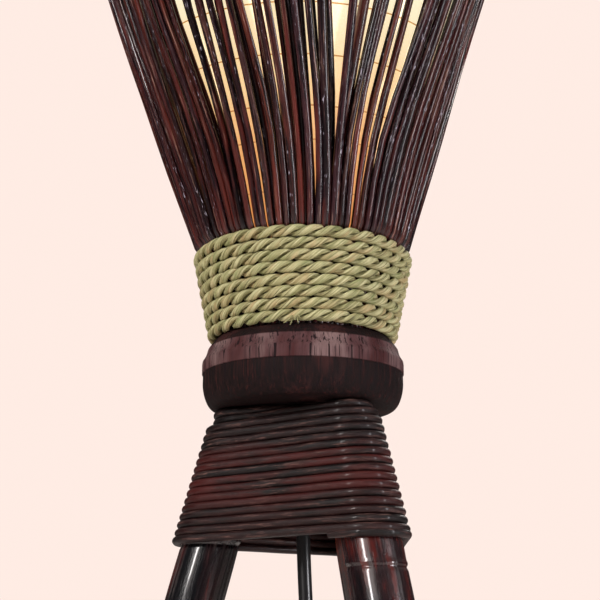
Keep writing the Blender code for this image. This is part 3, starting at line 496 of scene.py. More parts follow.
def turned_wood():
    """Stained wood: a lighter band with upright grain, painted in as the highlight that the band's facet
    catches, darker over and under it.
    """
    wood = Recipe("turned_wood", specular=0.12)
    grain = wood.noise(wood.place((700.0, 700.0, 45.0)), detail=6.0, roughness=0.7)
    broad = wood.noise(wood.place((45.0, 45.0, 20.0)), detail=3.0)
    pores = wood.noise(wood.place((820.0, 820.0, 22.0)), detail=3.0, roughness=0.6)
    height = wood.node("ShaderNodeSeparateXYZ")
    wood.wire(wood.node("ShaderNodeTexCoord").outputs["Object"], height.inputs[0])
    span = COLLAR_HIGH.z - COLLAR_LOW.z
    share = wood.scaled(height.outputs["Z"], 1.0 / span, -COLLAR_LOW.z / span)
    # Painted highlight: this height mask gives the band the lighter colour below, for the light its facet
    # catches.
    band = wood.ramp(share, [(0.500, 0.0), (0.512, 1.0), (0.852, 1.0), (0.866, 0.0)])
    dark = wood.ramp(grain, [(0.40, (0.003, 0.001, 0.001)), (0.56, (0.011, 0.004, 0.004)),
                             (0.72, (0.050, 0.012, 0.010))])
    light = wood.ramp(broad, [(0.36, (0.048, 0.013, 0.013)), (0.48, (0.078, 0.035, 0.036)),
                              (0.62, (0.165, 0.104, 0.100))])
    streaks = wood.ramp(grain, [(0.40, 0.55), (0.52, 0.0)])
    light = wood.mix(streaks, light, (0.034, 0.012, 0.013))
    marks = wood.ramp(broad, [(0.52, 0.0), (0.62, 0.55)])
    dark = wood.mix(marks, dark, (0.045, 0.013, 0.012))
    colour = wood.mix(band, dark, light)
    cracks = wood.ramp(pores, [(0.395, 0.95), (0.43, 0.0)])
    colour = wood.mix(cracks, colour, (0.006, 0.002, 0.003))
    rough = wood.ramp(grain, [(0.36, 0.60), (0.66, 0.85)])
    return wood.finish(colour, rough, wood.bump(grain, 0.0007, 0.9))


def bare_wood():
    wood = Recipe("bare_wood", roughness=0.65)
    grain = wood.noise(wood.place((300.0, 300.0, 18.0)), detail=6.0)
    colour = wood.ramp(grain, [(0.3, (0.24, 0.14, 0.07)), (0.7, (0.46, 0.31, 0.17))])
    return wood.finish(colour, None, wood.bump(grain, 0.0002, 0.5))


def lit_paper():
    """Cream rice paper with the bulb's light through it painted on as an emission glow: warm near the
    neck, near white by the bulb.
    """
    paper = Recipe("lit_paper", roughness=0.85, specular=0.1)
    height = paper.node("ShaderNodeSeparateXYZ")
    paper.wire(paper.node("ShaderNodeTexCoord").outputs["Object"], height.inputs[0])
    span = PAPER_HIGH.z - PAPER_LOW.z
    share = paper.scaled(height.outputs["Z"], 1.0 / span, -PAPER_LOW.z / span)
    cloud = paper.noise(paper.place((60.0, 60.0, 60.0)), detail=5.0)
    fibres = paper.noise(paper.place((260.0, 260.0, 500.0)), detail=3.0, distortion=2.0)
    mottled = paper.combine(share, paper.scaled(cloud, 0.06, -0.03), "ADD")
    # Painted light: the bulb's light through the paper, painted as an emission colour that changes with
    # height.
    glow = paper.ramp(mottled, [(0.00, (0.70, 0.24, 0.06)), (0.09, (0.90, 0.42, 0.15)),
                                (0.16, (1.00, 0.68, 0.34)), (0.25, (1.00, 0.90, 0.62)),
                                (0.48, (1.00, 0.86, 0.56)), (1.00, (0.85, 0.55, 0.28))])
    paper.wire(glow, paper.shader.inputs["Emission Color"])
    paper.shader.inputs["Emission Strength"].default_value = 0.92
    colour = paper.ramp(fibres, [(0.3, (0.62, 0.54, 0.40)), (0.7, (0.78, 0.71, 0.56))])
    return paper.finish(colour, None, paper.bump(fibres, 0.0002, 0.5))


def metal(name, colour, roughness, scratch):
    finish = Recipe(name, metallic=1.0)
    marks = finish.noise(finish.place((scratch, scratch, scratch * 0.2)), detail=5.0)
    tone = finish.ramp(marks, [(0.3, tuple(c * 0.8 for c in colour)), (0.7, colour)])
    rough = finish.ramp(marks, [(0.3, roughness * 0.7), (0.7, roughness * 1.3)])
    return finish.finish(tone, rough, finish.bump(marks, 0.00005, 0.3))


def moulded(name, colour, roughness, grain=900.0, depth=0.00005, coat=0.0):
    """Moulded plastic or rubber with a fine grain."""
    finish = Recipe(name, coat=coat)
    cells = finish.noise(finish.place((grain, grain, grain)), detail=3.0)
    broad = finish.noise(finish.place((40.0, 40.0, 40.0)), detail=3.0)
    tone = finish.ramp(broad, [(0.3, tuple(c * 0.75 for c in colour)), (0.7, colour)])
    rough = finish.ramp(broad, [(0.3, roughness * 0.85), (0.7, min(roughness * 1.2, 1.0))])
    return finish.finish(tone, rough, finish.bump(cells, depth, 0.4))


def glowing_globe():
    globe = Recipe("frosted_globe", roughness=0.5)
    cloud = globe.noise(globe.place((80.0, 80.0, 80.0)), detail=2.0)
    globe.wire(globe.ramp(cloud, [(0.3, (1.0, 0.86, 0.62)), (0.7, (1.0, 0.90, 0.68))]),
               globe.shader.inputs["Emission Color"])
    globe.shader.inputs["Emission Strength"].default_value = 3.0
    return globe.finish(globe.ramp(cloud, [(0.3, (0.90, 0.88, 0.82)), (0.7, (0.94, 0.92, 0.86))]))


def woven_tie():
    tie = Recipe("woven_tie", roughness=0.9, specular=0.2)
    weave = tie.noise(tie.place((1400.0, 1400.0, 1400.0)), detail=2.0)
    colour = tie.ramp(weave, [(0.35, (0.008, 0.008, 0.009)), (0.7, (0.035, 0.035, 0.038))])
    return tie.finish(colour, None, tie.bump(weave, 0.0003, 0.9))


# Cord, from the grip under the collar through the foot switch and the coil to the plug

CORD_RADIUS = 0.0035
CORD_EXIT = (0.0, 0.0, 0.5970)
CORD_ROUTE_TO_SWITCH = (
    CORD_EXIT, (0.0003, 0.0, 0.5600), (0.0030, -0.0005, 0.5000), (0.0080, -0.0020, 0.4000),
    (0.0120, -0.0035, 0.3000), (0.0140, -0.0060, 0.2000), (0.0125, -0.0110, 0.1200),
    (0.0090, -0.0230, 0.0620), (0.0070, -0.0430, 0.0250), (0.0080, -0.0680, 0.0075),
    (0.0133, -0.0935, 0.0037), (0.0275, -0.1118, 0.0037), (0.0485, -0.1180, 0.0037),
    (0.0695, -0.1118, 0.0044), (0.0833, -0.0955, 0.0066), (0.0875, -0.0800, 0.0100),
    (0.0880, -0.0653, 0.0125), (0.0880, -0.0450, 0.0122), (0.0880, -0.0040, 0.0120))
CORD_ROUTE_TO_COIL = (
    (0.0880, 0.0370, 0.0122), (0.0880, 0.0573, 0.0125), (0.0868, 0.0750, 0.0090), (0.0795, 0.0970, 0.0045),
    (0.0630, 0.1160, 0.0040), (0.0410, 0.1295, 0.0042), (0.0180, 0.1380, 0.0046),
    (-0.0050, 0.1425, 0.0048), (-0.0270, 0.1442, 0.0060))
CORD_ROUTE_TO_PLUG = (
    (-0.0925, 0.0955, 0.0048), (-0.0919, 0.0830, 0.0048), (-0.0912, 0.0700, 0.0050),
    (-0.0927, 0.0577, 0.0060), (-0.0984, 0.0479, 0.0069), (-0.1048, 0.0397, 0.0071))
COIL_CENTRE = (-0.045, 0.095)
COIL_INNER, COIL_OUTER = 0.0345, 0.0415       # middles of the coil's two columns of turns
COIL_LOW, COIL_HIGH = 0.0048, 0.0118          # and of its two rows
COIL_TRACKS = ((COIL_OUTER, COIL_HIGH), (COIL_INNER, COIL_HIGH), (COIL_INNER, COIL_LOW),
               (COIL_OUTER, COIL_LOW))
COIL_START, COIL_END = 80.0, 180.0            # degrees, counter-clockwise seen from above
COIL_STEP = 9.0
CROSSING = 72.0                               # degrees over which a turn moves to the next track
FIRST_ROLL = 40.0                             # the lead climbs round the outer lower turn
ROLL_REACH = 0.0072
LEAVING = 70.0                                # degrees over which the last turn leaves the coil
COIL_LEAVE = 0.0060
COIL_TIE_ANGLE = -60.0


def eased(value):
    value = min(max(value, 0.0), 1.0)
    return value * value * (3 - 2 * value)


def coil_route():
    """Turns that go down from the upper outer track to the lower outer one."""
    points = []
    total = 360.0 * (len(COIL_TRACKS) - 1) + COIL_END - COIL_START
    on_track = total / len(COIL_TRACKS)
    count = int(total / COIL_STEP)
    for index in range(1, count):
        travelled = index * total / count
        turn = int(travelled / on_track)
        radius, height = COIL_TRACKS[turn]
        into = travelled - on_track * turn
        if turn + 1 < len(COIL_TRACKS):
            share = eased((into - on_track + CROSSING) / CROSSING)
            radius += (COIL_TRACKS[turn + 1][0] - radius) * share
            height += (COIL_TRACKS[turn + 1][1] - height) * share
        if turn == 0 and into < CROSSING:
            roll = math.radians(FIRST_ROLL + (90.0 - FIRST_ROLL) * eased(into / CROSSING))
            radius = COIL_OUTER + ROLL_REACH * math.cos(roll)
            height = COIL_LOW + ROLL_REACH * math.sin(roll)
        radius += COIL_LEAVE * eased(1 - (total - travelled) / LEAVING)
        angle = math.radians(COIL_START + travelled)
        points.append((COIL_CENTRE[0] + radius * math.cos(angle),
                       COIL_CENTRE[1] + radius * math.sin(angle), height))
    return points


def even_route(route, step):
    """Centripetal Catmull-Rom curve through a route's points, in steps of about the given length."""
    points = [Vector(point) for point in route]
    points = [points[0] * 2 - points[1]] + points + [points[-1] * 2 - points[-2]]
    out = []
    for p0, p1, p2, p3 in zip(points, points[1:], points[2:], points[3:]):
        t1 = (p1 - p0).length ** 0.5
        t2 = t1 + (p2 - p1).length ** 0.5
        t3 = t2 + (p3 - p2).length ** 0.5
        count = max(1, round((p2 - p1).length / step))
        for index in range(count):
            t = t1 + (t2 - t1) * index / count
            a1 = p0 * ((t1 - t) / t1) + p1 * (t / t1)
            a2 = p1 * ((t2 - t) / (t2 - t1)) + p2 * ((t - t1) / (t2 - t1))
            a3 = p2 * ((t3 - t) / (t3 - t2)) + p3 * ((t - t2) / (t3 - t2))
            b1 = a1 * ((t2 - t) / t2) + a2 * (t / t2)
            b2 = a2 * ((t3 - t) / (t3 - t1)) + a3 * ((t - t1) / (t3 - t1))
            out.append(b1 * ((t2 - t) / (t2 - t1)) + b2 * ((t - t1) / (t2 - t1)))
    out.append(points[-2])
    return out


def wire_curve(name, points, radius, material, cyclic=False, resolution=6):
    """A round wire along points, as one poly spline."""
    data = bpy.data.curves.new(name, "CURVE")
    data.dimensions = "3D"
    data.bevel_depth = radius
    data.bevel_resolution = resolution
    data.use_fill_caps = not cyclic
    spline = data.splines.new("POLY")
    spline.points.add(len(points) - 1)
    for slot_point, point in zip(spline.points, points):
        slot_point.co = (*point, 1.0)
    spline.use_cyclic_u = cyclic
    spline.use_smooth = True
    data.materials.append(material)
    return link(name, data)


def loft(name, sections, material, sharp=40.0):
    """A closed skin over rings of points that all have the same count."""
    pile = Pile()
    pile.sweep(sections)
    return pile.make(name, material, sharp)


def rounded_section(half_x, half_y, corner, steps=6):
    """Level rounded rectangle, as (x, y) points."""
    corner = min(corner, half_x * 0.999, half_y * 0.999)
    points = []
    for quarter, (sx, sy) in enumerate(((1, 1), (-1, 1), (-1, -1), (1, -1))):
        for step in range(steps + 1):
            angle = (quarter + step / steps) * math.pi / 2
            points.append((sx * (half_x - corner) + corner * math.cos(angle),
                           sy * (half_y - corner) + corner * math.sin(angle)))
    return points


SWITCH_LOW, SWITCH_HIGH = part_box("switch_base")
COVER_LOW, COVER_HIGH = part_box("switch_cover")
BUTTON_LOW, BUTTON_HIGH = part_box("switch_button")
SWITCH_CENTRE = (SWITCH_LOW + SWITCH_HIGH) / 2
SWITCH_CORD_Z = 0.0125
SWITCH_CORNER = 0.012
BUTTON_CLEAR = 0.0012             # keeps the pressed button's lower face off the lead


def add_switch(material):
    """Foot switch: a flat base, a crowned cover with a dished well, a button and ribbed reliefs."""
    half = (SWITCH_HIGH - SWITCH_LOW) / 2
    turn = Matrix.Translation((SWITCH_CENTRE.x, SWITCH_CENTRE.y, 0.0))

    def level_rings(rows, corner):
        rings = []
        for height, inset in rows:
            outline = rounded_section(half.x - inset, half.y - inset, corner - inset)
            rings.append([turn @ Vector((x, y, height)) for x, y in outline])
        return rings

    base_rows = [(SWITCH_LOW.z, 0.0012), (SWITCH_LOW.z + 0.0005, 0.0003),
                 (SWITCH_LOW.z + 0.0015, 0.0), (SWITCH_HIGH.z - 0.0008, 0.0), (SWITCH_HIGH.z, 0.0006)]
    base = loft("pedal_base", level_rings(base_rows, SWITCH_CORNER), material)
    dress(base, "frame", "black_plastic", "switch_base")

    top = COVER_HIGH.z
    rows = [(COVER_LOW.z, 0.0007), (COVER_LOW.z + 0.0010, 0.0), (top - 0.0070, 0.0008)]
    for step in range(1, 9):
        angle = step / 8 * math.pi / 2
        rows.append((top - 0.0070 + 0.0064 * math.sin(angle), 0.0008 + 0.0062 * (1 - math.cos(angle))))
    rings = level_rings(rows, SWITCH_CORNER)
    well = (BUTTON_HIGH.x - BUTTON_LOW.x) / 2 + 0.0006
    count = len(rings[0])
    last = rings[-1]
    angles = [math.atan2(point.y - SWITCH_CENTRE.y, point.x - SWITCH_CENTRE.x) for point in last]
    for share, radius, height in ((0.5, well + 0.0035, top - 0.0002), (0.9, well + 0.0012, top),
                                  (1.0, well, top - 0.0006), (1.0, well, top - 0.0060)):
        ring = []
        for point, angle in zip(last, angles):
            round_point = Vector((SWITCH_CENTRE.x + radius * math.cos(angle),
                                  SWITCH_CENTRE.y + radius * math.sin(angle), height))
            ring.append(Vector((point.x, point.y, height)).lerp(round_point, share))
        rings.append(ring)
    cover = loft("pedal_cover", rings, material)
    dress(cover, "frame", "black_plastic", "switch_cover")

    radius = (BUTTON_HIGH.x - BUTTON_LOW.x) / 2
    crown = BUTTON_HIGH.z
    under = BUTTON_LOW.z + BUTTON_CLEAR
    profile = [(0.0, crown - 0.0012)]
    profile += arc_points((0.0004, crown - 0.0012), (radius - 0.0026, crown - 0.0001), -0.0002, 6)
    profile += [(radius - 0.0016, crown), (radius - 0.0005, crown - 0.0005),
                (radius, crown - 0.0016), (radius, under + 0.0008), (radius - 0.0008, under),
                (0.0, under)]
    button = lathe("pedal_button", profile, material, 64, 35.0, (SWITCH_CENTRE.x, SWITCH_CENTRE.y))
    dress(button, "button", "black_plastic", "switch_button")

    reliefs = []
    for number, side in enumerate((-1, 1), 1):
        low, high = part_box(f"switch_relief_{number}")
        root, tip = (high.y, low.y) if side < 0 else (low.y, high.y)
        wide, narrow = (high.z - low.z) / 2, 0.0052
        profile = []
        for step in range(41):
            share = step / 40
            rib = 0.00045 * (1 - eased(abs((share * 7) % 1 - 0.5) * 4)) if 0.08 < share < 0.95 else 0.0
            profile.append((wide + (narrow - wide) * share - rib, (tip - root) * share))
        profile += [(CORD_RADIUS + 0.0001, tip - root), (CORD_RADIUS + 0.0001, 0.0)]
        piece = lathe(f"lead_relief_{number}", profile, material, 40, 40.0)
        lay_down = Matrix.Translation((SWITCH_CENTRE.x, root, SWITCH_CORD_Z))
        piece.data.transform(lay_down @ Matrix.Rotation(-math.pi / 2, 4, "X"))
        reliefs.append(dress(piece, "frame", "black_plastic", f"switch_relief_{number}"))
    return [base, cover, button] + reliefs


PLUG_HEADING = -128.0
PLUG_CENTRE = (-0.128, 0.010)
PLUG_LENGTH = 0.034
PLUG_NECK = 0.020


def add_plug(material):
    """Moulded two-pin plug with a finger waist and a ribbed neck; its pins stay as they are."""
    low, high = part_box("plug_body")
    middle, half_high = (low.z + high.z) / 2, (high.z - low.z) / 2
    half_wide, half_long = 0.0165, PLUG_LENGTH / 2
    place = Matrix.Translation((*PLUG_CENTRE, middle))
    place = place @ Matrix.Rotation(math.radians(PLUG_HEADING), 4, "Z")
    stations = [(half_long, half_wide * 0.68, half_high * 0.86, 0.004),
                (half_long - 0.0006, half_wide * 0.73, half_high * 0.95, 0.005)]
    for step in range(1, 22):
        share = step / 21
        grip = 0.0011 * math.sin(math.pi * min(max((share - 0.25) / 0.6, 0.0), 1.0)) ** 2
        waist = eased((share - 0.35) / 0.65)
        wide = half_wide * (0.76 + 0.22 * math.sin(math.pi * min(share * 2.2, 1.0))) if share < 0.46 \
            else half_wide * (0.76 - 0.36 * waist)
        wide = min(wide, half_wide)
        stations.append((half_long - PLUG_LENGTH * share, wide, half_high - grip, 0.0066))
    for step in range(1, 31):
        share = step / 30
        rib = 0.0006 * (1 - eased(abs((share * 6) % 1 - 0.5) * 4)) if share < 0.92 else 0.0
        radius = 0.0066 - 0.0016 * share - rib
        stations.append((-half_long - PLUG_NECK * share, radius, min(radius, half_high), 0.0065))
    rings = []
    for x, wide, tall, corner in stations:
        outline = rounded_section(wide, tall, min(corner, wide, tall))
        rings.append([place @ Vector((x, y, z)) for y, z in outline])
    plug = loft("plug_moulding", rings, material, 45.0)
    return dress(plug, "frame", "black_plastic", "plug_body")


def add_coil_tie(material):
    """Strap round the coil's turns, with its loose end lapped over the top."""
    angle = math.radians(COIL_TIE_ANGLE)
    middle = Vector(((COIL_INNER + COIL_OUTER) / 2 * math.cos(angle) + COIL_CENTRE[0],
                     (COIL_INNER + COIL_OUTER) / 2 * math.sin(angle) + COIL_CENTRE[1],
                     (COIL_LOW + COIL_HIGH) / 2))
    place = Matrix.Translation(middle) @ Matrix.Rotation(angle, 4, "Z")
    half_out = (COIL_OUTER - COIL_INNER) / 2 + CORD_RADIUS
    half_up = (COIL_HIGH - COIL_LOW) / 2 + CORD_RADIUS
    wall, half_width = 0.0009, 0.0058
    spiral = []
    for turn in range(2):
        outline = rounded_section(half_out + 0.0002 + turn * 0.00005, half_up + 0.0002, 0.0036, 8)
        spiral.extend(outline)
    start = 7
    lapped = spiral[start:start + 36 + 10]
    rings = []
    for index, (x, z) in enumerate(lapped):
        before = Vector(lapped[max(index - 1, 0)])
        after = Vector(lapped[min(index + 1, len(lapped) - 1)])
        along = (after - before).normalized()
        normal = Vector((along.y, -along.x))
        lift = 0.00085 * eased((index - 34) / 4)
        inner = Vector((x, z)) + normal * (0.00005 + lift)
        outer = inner + normal * (wall * (0.55 if index > 34 else 0.75))
        ring = []
        for point, y in ((inner, -half_width), (inner, half_width), (outer, half_width),
                         (outer, -half_width)):
            ring.append(place @ Vector((point.x, y, point.y)))
        rings.append(ring)
    tie = loft("strap_tie", rings, material, 30.0)
    return dress(tie, "frame", "tie", "coil_tie")


def add_cord():
    """The whole lead as one line: through the switch, round the coil and into the plug."""
    black = moulded("cord_pvc", (0.012, 0.012, 0.013), 0.32, coat=0.25)
    shell = moulded("switch_plastic", (0.016, 0.016, 0.017), 0.42)
    route = CORD_ROUTE_TO_SWITCH + CORD_ROUTE_TO_COIL + tuple(coil_route()) + CORD_ROUTE_TO_PLUG
    points = even_route(route, 0.003)
    for point in points:
        point.z = max(point.z, CORD_RADIUS)
    cord = wire_curve("cord", points, CORD_RADIUS, black)
    dress(cord, "frame", "cord_black", "cord_drop", "cord_lead", "cord_tail", "cord_coil")
    on_it = add_switch(shell) + [add_plug(shell), add_coil_tie(woven_tie())]
    on_it += [NODES["plug_pin_1"], NODES["plug_pin_2"]]


# Sticks

PANEL_COUNT = 12
ROPE_TOP = 0.7121
BULGE_TOP = ROPE_TOP + 0.008
STICKS_SPREAD = 0.7085            # where the sticks start to spring out, behind the top turn
STICKS_SPRUNG = 0.7155
STICK_FOOT_CIRCLE, STICK_NECK_CIRCLE, STICK_BULGE_CIRCLE = 0.0416, 0.0505, 0.0572
SHADE_FLARE = 0.3225              # outward travel of a stick above the bulge
STICK_LAYER_STEP = 0.0044
# Bunches of the sticks seen from the front: first and last azimuth from the front
FRONT_BUNCHES = ((-90, -44.5), (-41.25, -39.25), (-38, -29.7), (-29.3, -19.75), (-16.25, -9.25),
                 (-8.25, -5.25), (-4.5, -0.75), (-0.25, 3.25), (4, 5.25), (6, 10.25), (17.5, 19.5),
                 (23.5, 26), (28, 34.25), (36.5, 39.5), (39.75, 43.25), (47.5, 90))
STICK_ANGLE = 1.7                 # of one stick in a bunch
BACK_COUNT = 92
FRONT_AZIMUTH = -90.0
WIDTH_CIRCLE = 0.097              # circle on which a bunch's angle gives its sticks' width
SHADE_LEAN = -0.0036              # sideways lean of the sticks over the first part of the shade
LEAN_END = 0.83


def stick_circle(height):
    """Radius of the outer layer's middles at a height."""
    if height < ROPE_TOP:
        share = (height - FOOT_LOW.z) / (ROPE_TOP - FOOT_LOW.z)
        return STICK_FOOT_CIRCLE + (STICK_NECK_CIRCLE - STICK_FOOT_CIRCLE) * share
    bulge = min((height - ROPE_TOP) / (BULGE_TOP - ROPE_TOP), 1.0)
    out = STICK_NECK_CIRCLE + (STICK_BULGE_CIRCLE - STICK_NECK_CIRCLE) * bulge
    return out + SHADE_FLARE * max(height - BULGE_TOP, 0.0)


def sprung_circle(height):
    """The sticks' own circle: out sharply over the rope's top turn, and then straight."""
    if height < STICKS_SPREAD:
        return stick_circle(height)
    low = stick_circle(STICKS_SPREAD)
    high = STICK_BULGE_CIRCLE - SHADE_FLARE * (BULGE_TOP - STICKS_SPRUNG)
    if height < STICKS_SPRUNG:
        share = (height - STICKS_SPREAD) / (STICKS_SPRUNG - STICKS_SPREAD)
        return low + (high - low) * eased(share)
    return STICK_BULGE_CIRCLE + SHADE_FLARE * (height - BULGE_TOP)


def lean(height):
    """The shade leans a little at first, and stands true again at its mouth."""
    rise = (height - ROPE_TOP) / (LEAN_END - ROPE_TOP)
    if rise <= 0:
        return 0.0
    if rise <= 1:
        return SHADE_LEAN * rise
    return SHADE_LEAN * (1 - eased((height - LEAN_END) / (FOOT_HIGH.z - LEAN_END)))


def stick_azimuths(chance):
    """Each stick's azimuth in the open shade, round from the left side seen from the front."""
    azimuths = []
    for first, last in FRONT_BUNCHES:
        count = max(1, round((last - first) / STICK_ANGLE))
        width = (last - first) / count
        for index in range(count):
            jitter = chance.uniform(-0.12, 0.12) * width if count > 1 else 0.0
            azimuths.append((FRONT_AZIMUTH + first + width * (index + 0.5) + jitter, width))
    step = 180.0 / BACK_COUNT
    for index in range(BACK_COUNT):
        azimuths.append((step * (index + 0.5) + chance.uniform(-0.7, 0.7), chance.uniform(1.2, 2.0)))
    return azimuths


def stick_heights(top):
    low = FOOT_LOW.z + 0.0004
    heights = [low, 0.685, 0.700, 0.7060, 0.7090, 0.7110, 0.7130, 0.7155, 0.7200, 0.7270, 0.7360]
    steps = 24
    for index in range(1, steps + 1):
        heights.append(0.7360 + (top - 0.7360) * index / steps)
    return heights


def add_sticks():
    chance = random.Random(11)
    material = lacquered_stick()
    azimuths = stick_azimuths(chance)
    count = len(azimuths)
    piles = [Pile() for _ in range(PANEL_COUNT)]
    for index, (open_azimuth, width) in enumerate(azimuths):
        neck_azimuth = FRONT_AZIMUTH - 90.0 + 360.0 * (index + 0.5) / count + chance.uniform(-0.6, 0.6)
        inset = STICK_LAYER_STEP * (index % 2) + chance.uniform(0.0002, 0.0010)
        radius = math.radians(width) * WIDTH_CIRCLE / 2 * chance.uniform(1.10, 1.40)
        top = FOOT_HIGH.z - 0.0010 - chance.random() ** 2 * 0.018
        seed = Vector((index * 7.31, index * 3.17, 0.0))
        bow = chance.uniform(-1.0, 1.0)
        centres, widths = [], []
        for height in stick_heights(top):
            free = eased((height - 0.716) / 0.06)
            turn = math.radians(neck_azimuth + (open_azimuth - neck_azimuth)
                                * eased((height - 0.733) / 0.122))
            sway = noise.noise_vector(seed + Vector((0.0, 0.0, height * 9.0))) * 0.0019 * free
            out = sprung_circle(height) - inset + sway.x
            side = sway.y + bow * 0.0026 * math.sin(math.pi * eased((height - 0.72) / 0.52))
            centres.append(Vector((out * math.cos(turn) - side * math.sin(turn) + lean(height),
                                   out * math.sin(turn) + side * math.cos(turn), height)))
            swell = 1.0 + 0.10 * noise.noise(seed + Vector((5.0, 0.0, height * 16.0)))
            taper = 1.0 - 0.22 * eased((height - 0.90) / 0.34)
            widths.append(radius * swell * taper)
        flat = chance.uniform(0.66, 1.0)
        spin = chance.uniform(0.0, TAU)
        facet = [chance.uniform(0.90, 1.05) for _ in range(9)]
        rings = tube_rings(centres, lambda i: widths[i], lambda i: widths[i] * flat, 9,
                           lambda i: spin, lambda i, side: facet[side])
        for corner_ring in (0, -1):
            tilt = Vector((chance.uniform(-1, 1), chance.uniform(-1, 1), 0.0)) * 0.25
            for point in rings[corner_ring]:
                point.z += (point - centres[corner_ring]).dot(tilt)
                point.z = min(max(point.z, FOOT_LOW.z), FOOT_HIGH.z)
        panel = int(((neck_azimuth + 360.0) % 360.0) / (360.0 / PANEL_COUNT))
        piles[panel % PANEL_COUNT].sweep(rings, chance.random(), start=chance.random() * 3.0)
    for number, pile in enumerate(piles, 1):
        panel = pile.make(f"sticks_{number:02d}", material)
        dress(panel, "frame", "stick", f"stick_panel_{number:02d}")


# Seagrass rope

ROPE_TURNS = 8
ROPE_RADIUS = 0.0031
ROPE_LAY = 0.0190                 # one full twist of the two strands
STRAND_OFFSET, STRAND_WIDE, STRAND_DEEP = 0.00160, 0.00225, 0.00150
ROPE_ARCH = 0.0012                # the turns ride up at the front and the back
ROPE_START = 113.0                # both ends are at the back


def rope_centre(degrees_round):
    """Middle of the rope after some degrees of winding from its lower end."""
    turns = degrees_round / 360.0
    rows = int(turns) + eased((turns - int(turns) - STEP_START) / (1 - STEP_START))
    height = ROPE_LOW.z + ROPE_RADIUS + 0.0001 + ROW_PITCH * min(rows, ROPE_TURNS - 1)
    out = stick_circle(height) + ROPE_HUG
    uneven = noise.noise(Vector((degrees_round * 0.011, 3.0, 0.0)))
    angle = math.radians(ROPE_START + degrees_round)
    out += 0.0003 * uneven
    height += 0.00045 * noise.noise(Vector((degrees_round * 0.015, 9.0, 0.0)))
    from_front = math.radians(ROPE_START + degrees_round - FRONT_AZIMUTH)
    height += ROPE_ARCH * (0.35 + 0.65 * rows / ROPE_TURNS) * (math.cos(2 * from_front) - 0.25)
    return Vector((out * math.cos(angle), out * math.sin(angle), height))


ROPE_TRAVEL = 360.0 * ROPE_TURNS - 8.0
ROW_PITCH = (ROPE_HIGH.z - ROPE_LOW.z - 2 * ROPE_RADIUS - 0.0002) / (ROPE_TURNS - 1)
STEP_START = 0.84                 # each turn lies level, then climbs to the next row
ROPE_HUG = ROPE_HIGH.x - ROPE_RADIUS + 0.0004 - stick_circle(ROPE_HIGH.z - ROPE_RADIUS)


def add_rope():
    material = twisted_grass()
    pile = Pile()
    step = 1.3
    count = int(ROPE_TRAVEL / step)
    centres = [rope_centre(ROPE_TRAVEL * index / count) for index in range(count + 1)]
    tucked = 22
    for back in range(tucked):
        inward = eased(1 - back / tucked) * 0.0045
        centres[-1 - back] -= outward(centres[-1 - back]) * inward
        centres[back] -= outward(centres[back]) * inward * 0.6
    sides = 12
    travelled = [0.0]
    for before, after in zip(centres, centres[1:]):
        travelled.append(travelled[-1] + (after - before).length)
    for strand in range(2):
        rings = []
        for index, centre in enumerate(centres):
            along = (centres[min(index + 1, count)] - centres[max(index - 1, 0)]).normalized()
            out = outward(centre)
            out = (out - along * out.dot(along)).normalized()
            up = out.cross(along) if out.cross(along).z > 0 else along.cross(out)
            wander = 0.35 * noise.noise(Vector((travelled[index] * 14.0, 1.0, 0.0)))
            twist = TAU * travelled[index] / ROPE_LAY + math.pi * strand + wander
            arm = out * math.cos(twist) + up * math.sin(twist)
            across = up * math.cos(twist) - out * math.sin(twist)
            plump = 1.0 + 0.07 * noise.noise(Vector((travelled[index] * 60.0, strand * 5.0, 2.0)))
            end = min(index, count - index)
            plump *= 0.55 + 0.45 * eased(end / 10)
            ring = []
            for side in range(sides):
                angle = TAU * side / sides
                fibre = 1.0 + 0.05 * noise.noise(Vector((side * 1.9, travelled[index] * 90.0,
                                                          strand * 7.0)))
                reach = plump * fibre
                point = centre + arm * (STRAND_OFFSET + STRAND_DEEP * reach * math.cos(angle))
                ring.append(point + across * (STRAND_WIDE * reach * math.sin(angle)))
            rings.append(ring)
        pile.sweep(rings, 0.31 + 0.4 * strand)
    frayed_end(pile)
    rope = pile.make("twisted_rope", material, 60.0)
    dress(rope, "frame", "seagrass", "seagrass_rope")


def frayed_end(pile):
    """Loose blades of the rope's lower end, which stick out at the front."""
    chance = random.Random(5)
    angle = math.radians(FRONT_AZIMUTH - 4.0)
    out = Vector((math.cos(angle), math.sin(angle), 0.0))
    side = Vector((-math.sin(angle), math.cos(angle), 0.0))
    root = out * (stick_circle(ROPE_LOW.z) + ROPE_HUG + 0.0018)
    root.z = ROPE_LOW.z + 0.0040
    for _ in range(9):
        aim = (side * chance.uniform(-0.75, 0.35) + Vector((0, 0, -1)) * chance.uniform(0.35, 0.9)
               + out * chance.uniform(0.25, 0.5))
        length = chance.uniform(0.0045, 0.0078)
        start = root + side * chance.uniform(-0.0012, 0.0012)
        curl = side * chance.uniform(-0.0014, 0.0014)
        centres = [start + aim * (length * t) + curl * (t * t) for t in (0, 0.3, 0.6, 0.85, 1.0)]
        width = chance.uniform(0.00035, 0.0006)
        pile.sweep(tube_rings(centres, lambda i: width * (1.05 - 0.15 * i),
                              lambda i: width * 0.45, 6), 0.9)


# Legs and the rattan wound round them

LEG_NODES = ((0.562, 0.395, 0.215), (0.548, 0.345, 0.150), (0.520, 0.300, 0.105))


